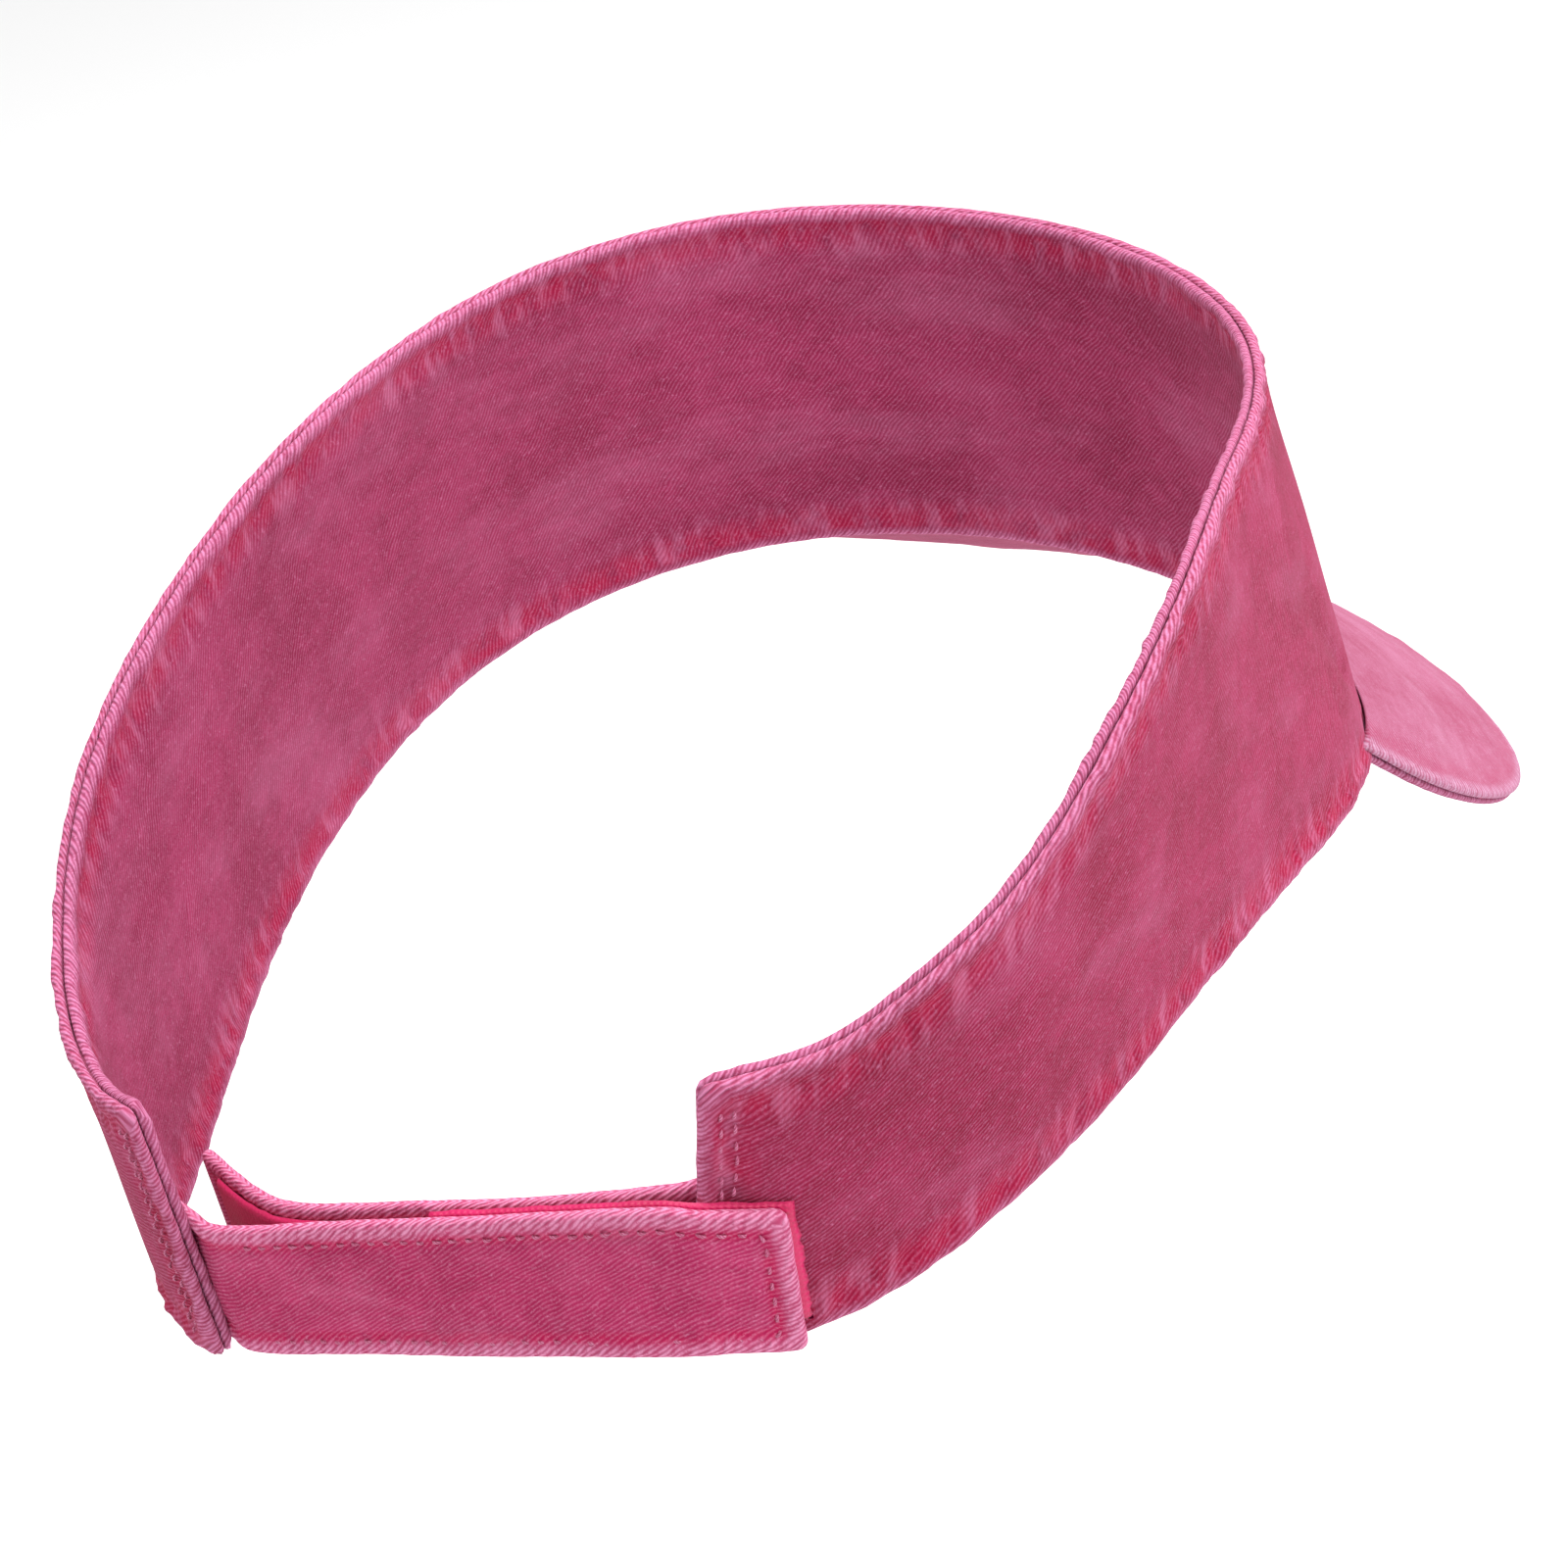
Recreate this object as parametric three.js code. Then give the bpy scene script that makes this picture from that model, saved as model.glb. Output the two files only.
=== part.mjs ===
// Sun visor in washed cotton twill: a two-ply headband that is tallest over the forehead, a curved
// brim sewn to the front of its bottom edge, and two overlapping hook-and-loop straps at the back.
//
// Millimetres, +Z up. The brim points to -Y, the closure is at +Y and the wearer's right is -X. The
// origin is the middle of the head opening, at the mean level of the band's bottom edge.
// Angles run round the head: 0 is the middle of the forehead, and they grow towards the wearer's right.

import * as THREE from 'three';

// ---- Driving sizes: millimetres and degrees ----

// The band's middle line, seen from above
const LOOP_LENGTH = 208;
const LOOP_WIDTH = 160;
const LOOP_FULLNESS = 0.09; // how square its sides are
const LOOP_TAPER = 0.08; // how much narrower the front is than the back
const LOOP_POINT = 0.04; // how much tighter both ends of the oval are
const LOOP_SKEW = -13; // how far its two sides are out of step, front to back

// Where the band ends, measured at its top edge. The right end is cut on a slant.
const RIGHT_END = 162.2;
const RIGHT_END_SLANT = 4.2;
const LEFT_END = 151;

// Waves round the head: a constant, then one, two and three waves a turn
const BOTTOM_LEVEL = { cos: [0, 0, -6.1, 1.7], sin: [0, 0, -9.3] };
const BAND_HEIGHT = { cos: [56.4, 11, -3.4, -0.5], sin: [0, 1.6] };
const TOP_LEAN = { cos: [1.4, 4.2, -0.6, -4.6], sin: [0, 3] };
// The top edge dips before each end's tab: millimetres deep, degrees from the end and spread
const END_DIPS = [{ depth: 5.3, fromEnd: 22, spread: 14 }, { depth: 3.2, fromEnd: 9, spread: 7 }];
// The bottom edge turns out near the left end and beside the brim's right end
const FLARES = [{ size: 6, angle: -140, spread: 15 }, { size: 1.2, angle: 62, spread: 16 }];
const RIGHT_END_LIFT = { size: 4.8, angle: 167, spread: 8 }; // the bottom edge rises to the right end
const END_CORNER = 1.6;

// Cloth and thread
const PLY = 0.8;
const SEAM_ROOM = 0.5; // half the space between the two plies, which holds the turned-in edges
const GAP = 0.3; // clearance between touching pieces
const BUCKRAM = 0.4;
const THREAD = 0.4;
const BAND_FACE = SEAM_ROOM + PLY;

const STIFFENER_HALF_ANGLE = 58;
const STIFFENER_INSET = 7; // below the top edge and above the bottom edge
const SEAM_INSET = 1.5; // how deep the edge seams lie
const END_ROWS = [3, 5.5]; // the two stitch rows, from the band's end
const END_ROW_INSET = 3;

// Brim
const BRIM_HALF_ANGLE = 62.7;
const BRIM_REACH = 63.5;
const BRIM_OUTLINE = { corners: 4, fullness: 0.51 }; // powers that shape its outer edge
const BRIM_CURL = 0.05; // share of the drop that grows towards the edge
const BRIM_END_REACH = 7.3;
const BRIM_SPREAD = 0.48; // how far its sides fan out: 0 straight ahead, 1 square to the band
const BRIM_SLOPE = { left: 13, front: 34, right: 45.5 }; // below level; the right side hangs lower
const BRIM_LIFT = 2.2; // its mid-plane above the band's bottom edge
const BRIM_BOARD = 1.6;
const BOARD_INSET = 4;
const BRIM_SEAM_INSET = 1.6;
const BRIM_SEAM_SPAN = 0.94; // of the way to the brim's ends
const BRIM_STATIONS = 28; // round its edge; the board stops one short of each end

// Closure straps
const STRAP_WIDTH = 22;
const STRAP_INSET = { left: 1.5, right: 2.5 }; // above the band's bottom edge
const STRAP = 1.2; // folded twill
const TAPE = 0.7;
const TAPE_WIDTH = 19;
const TAPE_LIFT = 0.8; // the tapes sit near the straps' top edge
const ROOT_LENGTH = 13; // sewn on inside the band's end
const HINGE_OUT = 3; // hinge line beyond the band's end
const HINGE_ROOM = 1.6; // cloth stops this far short of the hinge line on each side
const HOOK_OVERLAP = { bottom: 13, top: 10 }; // of the hook strap over the outside of the right end
const HOOK_DROP = 3.2; // its free end hangs lower against the band than the loop strap's hinge
const HOOK_BULGE = { size: 0.5, at: [0.3, 0.65] }; // away from the head, at shares of its free span
const HOOK_TAPE_LENGTH = 50;
const HOOK_TAPE_SHOWS = 1.4; // past the strap's free end
const LOOP_PAST_END = 12; // of the loop strap's free end past the band's left end
// The loop strap's distances inside the hook strap, at shares of the way from the left hinge
const LOOP_WEDGE = [[0.045, 7], [0.16, 4.2], [0.45, 3.9], [0.72, 3.9]];
const LOOP_WEDGE_END = 15.5; // the same at its free end
const LOOP_TAPE_LENGTH = 62;
const LOOP_TAPE_START = 6; // from the loop strap's free end
const TOPSTITCH_INSET = { top: 4, bottom: 3 };
const TOPSTITCH_TURN = 1.5; // radius of its corners
const TOPSTITCH_START = 5; // from the hinge end of the strap

// How finely the curves are cut
const BAND_STATIONS = 54;
const STRAP_STATIONS = 26;
const ROOT_STATIONS = 5;
const BRIM_ROWS = 5;
const SEAM_STATIONS = 60;
const END_STATIONS = 4;
const TOPSTITCH_STATIONS = 90;

// ---- Helpers ----

const rad = THREE.MathUtils.degToRad;
const { lerp } = THREE.MathUtils;

function wave({ cos = [], sin = [] }, angle) {
  const cosines = cos.map((size, k) => size * Math.cos(k * angle));
  const sines = sin.map((size, k) => size * Math.sin(k * angle));
  return [...cosines, ...sines].reduce((sum, term) => sum + term, 0);
}

// A smooth hump, 1 at its middle
function bump(offset, spreadDegrees) {
  return Math.exp(-((offset / rad(spreadDegrees)) ** 2));
}

// The sum of some humps round the band
function humps(list, angle) {
  const sizes = list.map((hump) => hump.size * bump(angle - rad(hump.angle), hump.spread));
  return sizes.reduce((sum, size) => sum + size, 0);
}

function steps(from, to, count) {
  return Array.from({ length: count + 1 }, (_, i) => lerp(from, to, i / count));
}

// A closed sheet of cloth or board laid over a surface. place(along, up, out) gives its points; its
// second face is on the side that along x up points to.
function sheet(stations, rows, place, firstFace, secondFace) {
  const geometry = new THREE.BoxGeometry(1, 1, 1, stations.length - 1, rows.length - 1, 1);
  const corners = geometry.attributes.position;
  for (let i = 0; i < corners.count; i++) {
    const along = stations[Math.round((corners.getX(i) + 0.5) * (stations.length - 1))];
    const up = rows[Math.round((corners.getY(i) + 0.5) * (rows.length - 1))];
    const point = place(along, up, corners.getZ(i) > 0 ? secondFace : firstFace);
    corners.setXYZ(i, point.x, point.y, point.z);
  }
  geometry.computeVertexNormals();
  return geometry;
}

// A sewing thread through the given points
function thread(points, segments) {
  const section = new THREE.Shape();
  section.absarc(0, 0, THREAD / 2, 0, 2 * Math.PI);
  return new THREE.ExtrudeGeometry(section, {
    steps: segments,
    curveSegments: 3,
    bevelEnabled: false,
    extrudePath: new THREE.CatmullRomCurve3(points, false, 'centripetal'),
  });
}

// ---- The band's surface ----

function loopPoint(angle) {
  const across = Math.sin(angle) + LOOP_FULLNESS * Math.sin(3 * angle);
  const taper = LOOP_TAPER * (Math.cos(2 * angle) - 1);
  const ahead = Math.cos(angle) + taper + LOOP_POINT * Math.cos(3 * angle);
  const y = (-LOOP_LENGTH / 2) * ahead + LOOP_SKEW * Math.sin(angle);
  return new THREE.Vector3((-LOOP_WIDTH / 2) * across, y, 0);
}

// Level direction along the band, towards the wearer's left
function alongBand(angle) {
  const step = 0.001;
  return loopPoint(angle - step).sub(loopPoint(angle + step)).normalize();
}

function bandHeight(angle) {
  const toEnd = angle > 0 ? rad(RIGHT_END) - angle : angle + rad(LEFT_END);
  const dips = END_DIPS.map(({ depth, fromEnd, spread }) => depth * bump(toEnd - rad(fromEnd), spread));
  return wave(BAND_HEIGHT, angle) - dips[0] - dips[1] - humps([RIGHT_END_LIFT], angle);
}

// A point on the band: rise 0 to 1 from the bottom edge to the top edge, out from its middle surface
function bandPoint(angle, rise, out) {
  const along = alongBand(angle);
  const levelOut = new THREE.Vector3(along.y, -along.x, 0);
  const flare = humps(FLARES, angle);
  const level = wave(BOTTOM_LEVEL, angle) + humps([RIGHT_END_LIFT], angle);
  const bottomOut = wave(TOP_LEAN, angle) / 2 + flare;
  const lean = wave(TOP_LEAN, angle) + flare;
  const bottom = loopPoint(angle).setZ(level).addScaledVector(levelOut, bottomOut);
  const side = levelOut.multiplyScalar(-lean).setZ(Math.sqrt(bandHeight(angle) ** 2 - lean ** 2));
  const outwards = along.cross(side).normalize();
  return bottom.addScaledVector(side, rise).addScaledVector(outwards, out);
}

// The same, by the share of the way from the right end to the left end and by fractions of the height
function endAngle(rise) {
  return rad(RIGHT_END + RIGHT_END_SLANT * (1 - rise));
}

function bandAngle(share, rise) {
  return lerp(endAngle(rise), rad(-LEFT_END), share);
}

function bandLength() {
  const points = steps(0, 1, 200).map((share) => bandPoint(bandAngle(share, 0.5), 0.5, 0));
  return points.slice(1).reduce((sum, point, i) => sum + point.distanceTo(points[i]), 0);
}

const BAND_LENGTH = bandLength();

// How much of the height a rounded end corner takes away, this far along the band
function cornerCut(share) {
  const fromEnd = Math.min(share, 1 - share) * BAND_LENGTH;
  if (fromEnd >= END_CORNER) return 0;
  return END_CORNER - Math.sqrt(END_CORNER ** 2 - (END_CORNER - fromEnd) ** 2);
}

function onBand(share, row, out) {
  const cut = cornerCut(share) / bandHeight(bandAngle(share, row));
  const rise = lerp(cut, 1 - cut, row);
  return bandPoint(bandAngle(share, rise), rise, out);
}

function bandShares() {
  const corner = [0, 0.3, 1].map((part) => (part * END_CORNER) / BAND_LENGTH);
  const mirrored = corner.map((share) => 1 - share).reverse();
  return [...corner.slice(0, -1), ...steps(corner[2], mirrored[0], BAND_STATIONS), ...mirrored.slice(1)];
}

// ---- Headband ----

function ply(inner, outer) {
  return sheet(bandShares(), [0, 0.5, 1], onBand, inner, outer);
}

function frontStiffener() {
  const place = (share, row, out) => {
    const inset = STIFFENER_INSET / bandHeight(bandAngle(share, row));
    const rise = lerp(inset, 1 - inset, row);
    return bandPoint(bandAngle(share, rise), rise, out);
  };
  const half = rad(STIFFENER_HALF_ANGLE);
  const shares = bandShares().filter((share) => Math.abs(bandAngle(share, 0.5)) < half);
  return sheet(shares, [0, 0.5, 1], place, -BUCKRAM / 2, BUCKRAM / 2);
}

function edgeSeam(atTop) {
  const margin = END_CORNER / BAND_LENGTH;
  const points = steps(margin, 1 - margin, SEAM_STATIONS).map((share) => {
    const inset = SEAM_INSET / bandHeight(bandAngle(share, 0.5));
    const rise = atTop ? 1 - inset : inset;
    return bandPoint(bandAngle(share, rise), rise, 0);
  });
  return thread(points, SEAM_STATIONS);
}

function endRow(atRight, fromEnd) {
  const share = atRight ? fromEnd / BAND_LENGTH : 1 - fromEnd / BAND_LENGTH;
  const inset = END_ROW_INSET / bandHeight(bandAngle(share, 0.5));
  const points = [inset, 0.5, 1 - inset].map((rise) => bandPoint(bandAngle(share, rise), rise, 0));
  return thread(points, END_STATIONS);
}

// ---- Brim ----

// A point on the brim: across -1 to 1 from the wearer's left to their right, reach 0 to 1 from the band
// to the brim's edge, level up from its mid-plane
function brimSurface(across, reach) {
  const angle = rad(BRIM_HALF_ANGLE) * across;
  const lift = BRIM_LIFT / bandHeight(angle);
  const start = bandPoint(angle, lift, BAND_FACE + GAP);
  const along = alongBand(angle);
  const square = new THREE.Vector3(along.y, -along.x, 0);
  const ahead = new THREE.Vector3(0, -1, 0).lerp(square, BRIM_SPREAD).normalize();
  const taper = (1 - Math.abs(across) ** BRIM_OUTLINE.corners) ** BRIM_OUTLINE.fullness;
  const length = lerp(BRIM_END_REACH, BRIM_REACH, taper) * reach;
  const slope = brimSlope(across);
  const drop = Math.sin(slope) * length * (1 - BRIM_CURL + BRIM_CURL * reach);
  return start.addScaledVector(ahead, Math.cos(slope) * length).setZ(start.z - drop);
}

function brimSlope(across) {
  const side = across > 0 ? BRIM_SLOPE.right : BRIM_SLOPE.left;
  return rad(lerp(BRIM_SLOPE.front, side, Math.sin((Math.PI / 2) * Math.abs(across)) ** 2));
}

function brimPoint(across, reach, level) {
  const step = 0.01;
  const nearer = brimSurface(across, Math.max(reach - step, 0));
  const further = brimSurface(across, Math.min(reach + step, 1));
  const left = brimSurface(Math.max(across - step, -1), reach);
  const right = brimSurface(Math.min(across + step, 1), reach);
  const up = right.sub(left).cross(further.sub(nearer)).normalize();
  return brimSurface(across, reach).addScaledVector(up, level);
}

function brimReach(across) {
  return brimSurface(across, 0).distanceTo(brimSurface(across, 1));
}

// Each layer starts clear of the band: the lower it is, the further the slope sets it forward
function brimLayer(inset, top, bottom) {
  const place = (across, row, level) => {
    const start = inset + (brimCoverLevel() + PLY - level) * Math.tan(brimSlope(across));
    const reach = brimReach(across);
    return brimPoint(across, lerp(start / reach, 1 - inset / reach, row), level);
  };
  const stations = steps(1, -1, BRIM_STATIONS).slice(inset ? 1 : 0, inset ? -1 : undefined);
  return sheet(stations, steps(0, 1, BRIM_ROWS), place, top, bottom);
}

function brimCoverLevel() {
  return BRIM_BOARD / 2 + GAP;
}

function brimSeam(atEdge) {
  const points = steps(-BRIM_SEAM_SPAN, BRIM_SEAM_SPAN, SEAM_STATIONS).map((across) => {
    const margin = BRIM_SEAM_INSET / brimReach(across);
    return brimPoint(across, atEdge ? 1 - margin : margin, 0);
  });
  return thread(points, SEAM_STATIONS);
}

// ---- Closure straps ----

function strapRise(angle, up) {
  const inset = angle > 0 ? STRAP_INSET.right : STRAP_INSET.left;
  return (inset + up) / bandHeight(angle);
}

// The hinge line at one end of the band, as its two ends, beside the lining
const ROOT_OUT = -(BAND_FACE + GAP + STRAP / 2);

function hingeLine(atRight) {
  return [0, STRAP_WIDTH].map((up) => {
    const angle = atRight ? endAngle(up / bandHeight(rad(RIGHT_END))) : rad(-LEFT_END);
    const along = alongBand(angle).multiplyScalar(atRight ? -HINGE_OUT : HINGE_OUT);
    return bandPoint(angle, strapRise(angle, up), ROOT_OUT).add(along);
  });
}

// A strap between two edge curves that run from the wearer's left to their right
function strapPlace(lowerPoints, upperPoints) {
  const lower = new THREE.CatmullRomCurve3(lowerPoints, false, 'centripetal');
  const upper = new THREE.CatmullRomCurve3(upperPoints, false, 'centripetal');
  const length = lower.getLength();
  const place = (distance, up, out) => {
    const share = THREE.MathUtils.clamp(distance / length, 0, 1);
    const bottom = lower.getPointAt(share);
    const side = upper.getPointAt(share).sub(bottom).normalize();
    const along = lower.getTangentAt(share);
    const past = distance - share * length;
    const outwards = along.clone().cross(side).normalize();
    return bottom.addScaledVector(side, up).addScaledVector(outwards, out).addScaledVector(along, past);
  };
  return { place, length };
}

// Off the left hinge, straight across the back with a slight bulge, and over the right end's outside
function hookStrapPath() {
  const overOut = BAND_FACE + GAP + TAPE + GAP + STRAP / 2;
  const hinge = hingeLine(false);
  const edges = [HOOK_OVERLAP.bottom, HOOK_OVERLAP.top].map((overlap, side) => {
    const up = side * STRAP_WIDTH;
    const over = steps(0, 1, 3).map((part) => {
      const share = (part * overlap) / BAND_LENGTH;
      const angle = bandAngle(share, up / bandHeight(rad(RIGHT_END)));
      return bandPoint(angle, strapRise(angle, up - HOOK_DROP * part), overOut);
    });
    const start = hinge[side];
    const span = over[0].clone().sub(start);
    const away = new THREE.Vector3(span.y, -span.x, 0).normalize();
    const middle = HOOK_BULGE.at.map((part) =>
      start.clone().addScaledVector(span, part).addScaledVector(away, HOOK_BULGE.size));
    return [start, ...middle, ...over];
  });
  return strapPlace(...edges);
}

// From its free end inside the band's left end, drawing nearer the hook strap, to the right hinge
function loopStrapPath(hook) {
  const hinge = hingeLine(true);
  const edges = [0, STRAP_WIDTH].map((up, side) => {
    const reach = hinge[side].distanceTo(hook.place(0, up, 0));
    const free = hook.place(-LOOP_PAST_END, up, -LOOP_WEDGE_END);
    const follow = LOOP_WEDGE.map(([part, apart]) => hook.place(part * reach, up, -apart));
    return [free, ...follow, hinge[side]];
  });
  return strapPlace(...edges);
}

const hook = hookStrapPath();
const loop = loopStrapPath(hook);

function strapBody(path, from, to, width, lift, inner, outer) {
  const stations = steps(from, to, STRAP_STATIONS);
  return sheet(stations, [lift, lift + width / 2, lift + width], path.place, inner, outer);
}

function strapRoot(atRight) {
  const place = (share, up, out) => {
    const angle = bandAngle(share, up / bandHeight(rad(atRight ? RIGHT_END : LEFT_END)));
    return bandPoint(angle, strapRise(angle, up), out);
  };
  const tip = (HINGE_OUT - HINGE_ROOM) / BAND_LENGTH;
  const depth = ROOT_LENGTH / BAND_LENGTH;
  const shares = atRight ? steps(-tip, depth, ROOT_STATIONS) : steps(1 - depth, 1 + tip, ROOT_STATIONS);
  const rows = [0, STRAP_WIDTH / 2, STRAP_WIDTH];
  return sheet(shares, rows, place, ROOT_OUT - STRAP / 2, ROOT_OUT + STRAP / 2);
}

// One line of stitching along the top, round the free end and back along the bottom of a strap
function topstitch(path, start, end, out) {
  const low = TOPSTITCH_INSET.bottom;
  const high = STRAP_WIDTH - TOPSTITCH_INSET.top;
  const turn = Math.sign(end - start) * TOPSTITCH_TURN;
  const run = steps(start, end - turn, SEAM_STATIONS / 5);
  const across = steps(high - TOPSTITCH_TURN, low + TOPSTITCH_TURN, 2).map((up) => [end, up]);
  const route = [...run.map((at) => [at, high]), ...across, ...run.reverse().map((at) => [at, low])];
  return thread(route.map(([at, up]) => path.place(at, up, out)), TOPSTITCH_STATIONS);
}

// ---- Materials ----

const twill = new THREE.MeshStandardMaterial({ color: 0xb83f68, roughness: 0.9, metalness: 0 });
const liningTwill = new THREE.MeshStandardMaterial({ color: 0xa5395e, roughness: 0.92, metalness: 0 });
const fadedTwill = new THREE.MeshStandardMaterial({ color: 0xe0889f, roughness: 0.9, metalness: 0 });
const buckram = new THREE.MeshStandardMaterial({ color: 0xe9e2dc, roughness: 0.8, metalness: 0 });
const boardPlastic = new THREE.MeshStandardMaterial({ color: 0xdedede, roughness: 0.5, metalness: 0 });
const hookNylon = new THREE.MeshStandardMaterial({ color: 0xd32a62, roughness: 0.6, metalness: 0 });
const loopNylon = new THREE.MeshStandardMaterial({ color: 0xc92059, roughness: 0.95, metalness: 0 });
const sewingThread = new THREE.MeshStandardMaterial({ color: 0xd9738f, roughness: 0.7, metalness: 0 });

// ---- The visor ----

const visor = new THREE.Group();

function add(name, geometry, material) {
  const mesh = new THREE.Mesh(geometry, material);
  mesh.name = name;
  visor.add(mesh);
}

add('outer_ply', ply(SEAM_ROOM, BAND_FACE), twill);
add('lining', ply(-BAND_FACE, -SEAM_ROOM), liningTwill);
add('front_stiffener', frontStiffener(), buckram);
add('top_seam_thread', edgeSeam(true), sewingThread);
add('bottom_seam_thread', edgeSeam(false), sewingThread);
END_ROWS.forEach((fromEnd, i) => {
  add(`right_end_stitch_${i + 1}`, endRow(true, fromEnd), sewingThread);
  add(`left_end_stitch_${i + 1}`, endRow(false, fromEnd), sewingThread);
});

add('brim_top_cover', brimLayer(0, brimCoverLevel() + PLY, brimCoverLevel()), fadedTwill);
add('brim_board', brimLayer(BOARD_INSET, BRIM_BOARD / 2, -BRIM_BOARD / 2), boardPlastic);
add('brim_under_cover', brimLayer(0, -brimCoverLevel(), -brimCoverLevel() - PLY), twill);
add('brim_edge_thread', brimSeam(true), sewingThread);
add('brim_joining_thread', brimSeam(false), sewingThread);

const strapFace = STRAP / 2;
const tapeNear = strapFace + GAP;
const stitchOut = strapFace + GAP + THREAD / 2;

add('hook_strap_root', strapRoot(false), twill);
add('hook_strap', strapBody(hook, HINGE_ROOM, hook.length, STRAP_WIDTH, 0, -strapFace, strapFace), twill);
add('hook_tape', strapBody(hook, hook.length - HOOK_TAPE_LENGTH, hook.length + HOOK_TAPE_SHOWS,
  TAPE_WIDTH, STRAP_WIDTH - TAPE_WIDTH + TAPE_LIFT, -tapeNear - TAPE, -tapeNear), hookNylon);
const hookStitchEnd = hook.length - TOPSTITCH_INSET.top;
add('hook_strap_topstitch', topstitch(hook, TOPSTITCH_START, hookStitchEnd, stitchOut), sewingThread);

add('loop_strap_root', strapRoot(true), twill);
add('loop_strap', strapBody(loop, 0, loop.length - HINGE_ROOM, STRAP_WIDTH, 0, -strapFace, strapFace),
  twill);
add('loop_tape', strapBody(loop, LOOP_TAPE_START, LOOP_TAPE_START + LOOP_TAPE_LENGTH, TAPE_WIDTH,
  (STRAP_WIDTH - TAPE_WIDTH) / 2, tapeNear, tapeNear + TAPE), loopNylon);
const loopStitchStart = loop.length - TOPSTITCH_START;
add('loop_strap_topstitch', topstitch(loop, loopStitchStart, TOPSTITCH_INSET.top, -stitchOut),
  sewingThread);

export default visor;
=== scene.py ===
# Looks of the sun visor: washed, pigment-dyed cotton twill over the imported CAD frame.
#
# Shapes are worked out in millimetres and made in metres. As in the frame, +Z is up, the brim points
# to -Y, the closure is at +Y and the wearer's right is -X. Angles run round the head from the middle
# of the forehead towards the wearer's right.

import math

import bpy
import numpy as np
from mathutils import Matrix, Vector


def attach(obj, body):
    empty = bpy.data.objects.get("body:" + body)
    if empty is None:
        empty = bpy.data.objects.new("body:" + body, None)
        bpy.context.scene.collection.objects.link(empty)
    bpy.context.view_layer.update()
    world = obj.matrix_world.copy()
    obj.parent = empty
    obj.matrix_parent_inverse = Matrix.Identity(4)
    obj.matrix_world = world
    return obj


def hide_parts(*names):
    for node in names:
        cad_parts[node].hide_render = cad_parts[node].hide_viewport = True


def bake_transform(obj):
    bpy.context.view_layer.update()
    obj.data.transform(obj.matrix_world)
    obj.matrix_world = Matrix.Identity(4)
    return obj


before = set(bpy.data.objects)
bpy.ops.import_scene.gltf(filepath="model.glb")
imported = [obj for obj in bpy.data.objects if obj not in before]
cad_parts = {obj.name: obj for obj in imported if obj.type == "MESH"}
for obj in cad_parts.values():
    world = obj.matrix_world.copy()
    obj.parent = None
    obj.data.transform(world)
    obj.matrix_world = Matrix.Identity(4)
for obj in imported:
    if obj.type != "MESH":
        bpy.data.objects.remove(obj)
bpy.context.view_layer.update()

MM = 0.001

# ---- The band's middle surface, as in the CAD ----

LOOP_LENGTH, LOOP_WIDTH = 208.0, 160.0
LOOP_FULLNESS, LOOP_TAPER, LOOP_POINT, LOOP_SKEW = 0.09, 0.08, 0.04, -13.0
RIGHT_END, RIGHT_END_SLANT, LEFT_END = 162.2, 4.2, 151.0  # degrees; the slant is at the bottom
BOTTOM_LEVEL = ([0, 0, -6.1, 1.7], [0, 0, -9.3])
BAND_HEIGHT = ([56.4, 11, -3.4, -0.5], [0, 1.6])
TOP_LEAN = ([1.4, 4.2, -0.6, -4.6], [0, 3])
END_DIPS = ((5.3, 22.0, 14.0), (3.2, 9.0, 7.0))  # depth, degrees from the end, spread
FLARES = ((6.0, -140.0, 15.0), (1.2, 62.0, 16.0))  # size, angle, spread
RIGHT_END_LIFT = (4.8, 167.0, 8.0)  # of the bottom edge, the same way
END_CORNER = 1.6


def wave(terms, angle):
    """A Fourier series: its cosine terms, then its sine terms."""
    cosines = sum(size * np.cos(k * angle) for k, size in enumerate(terms[0]))
    return cosines + sum(size * np.sin(k * angle) for k, size in enumerate(terms[1]))


def bump(offset, spread):
    return np.exp(-((offset / np.radians(spread)) ** 2))


def humps(terms, angle):
    """Smooth local bumps, each with its size, place and spread."""
    return sum(size * bump(angle - np.radians(at), spread) for size, at, spread in terms)


def unit(v):
    return v / np.maximum(np.linalg.norm(v, axis=-1, keepdims=True), 1e-9)


def loop_point(angle):
    across = np.sin(angle) + LOOP_FULLNESS * np.sin(3 * angle)
    ahead = np.cos(angle) + LOOP_TAPER * (np.cos(2 * angle) - 1) + LOOP_POINT * np.cos(3 * angle)
    x = -LOOP_WIDTH / 2 * across
    y = -LOOP_LENGTH / 2 * ahead + LOOP_SKEW * np.sin(angle)
    return np.stack([x, y, np.zeros_like(x)], -1)


def along_band(angle):
    return unit(loop_point(angle - 0.001) - loop_point(angle + 0.001))


def band_height(angle):
    to_end = np.where(angle > 0, np.radians(RIGHT_END) - angle, angle + np.radians(LEFT_END))
    return wave(BAND_HEIGHT, angle) - humps(END_DIPS, to_end) - humps([RIGHT_END_LIFT], angle)


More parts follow.
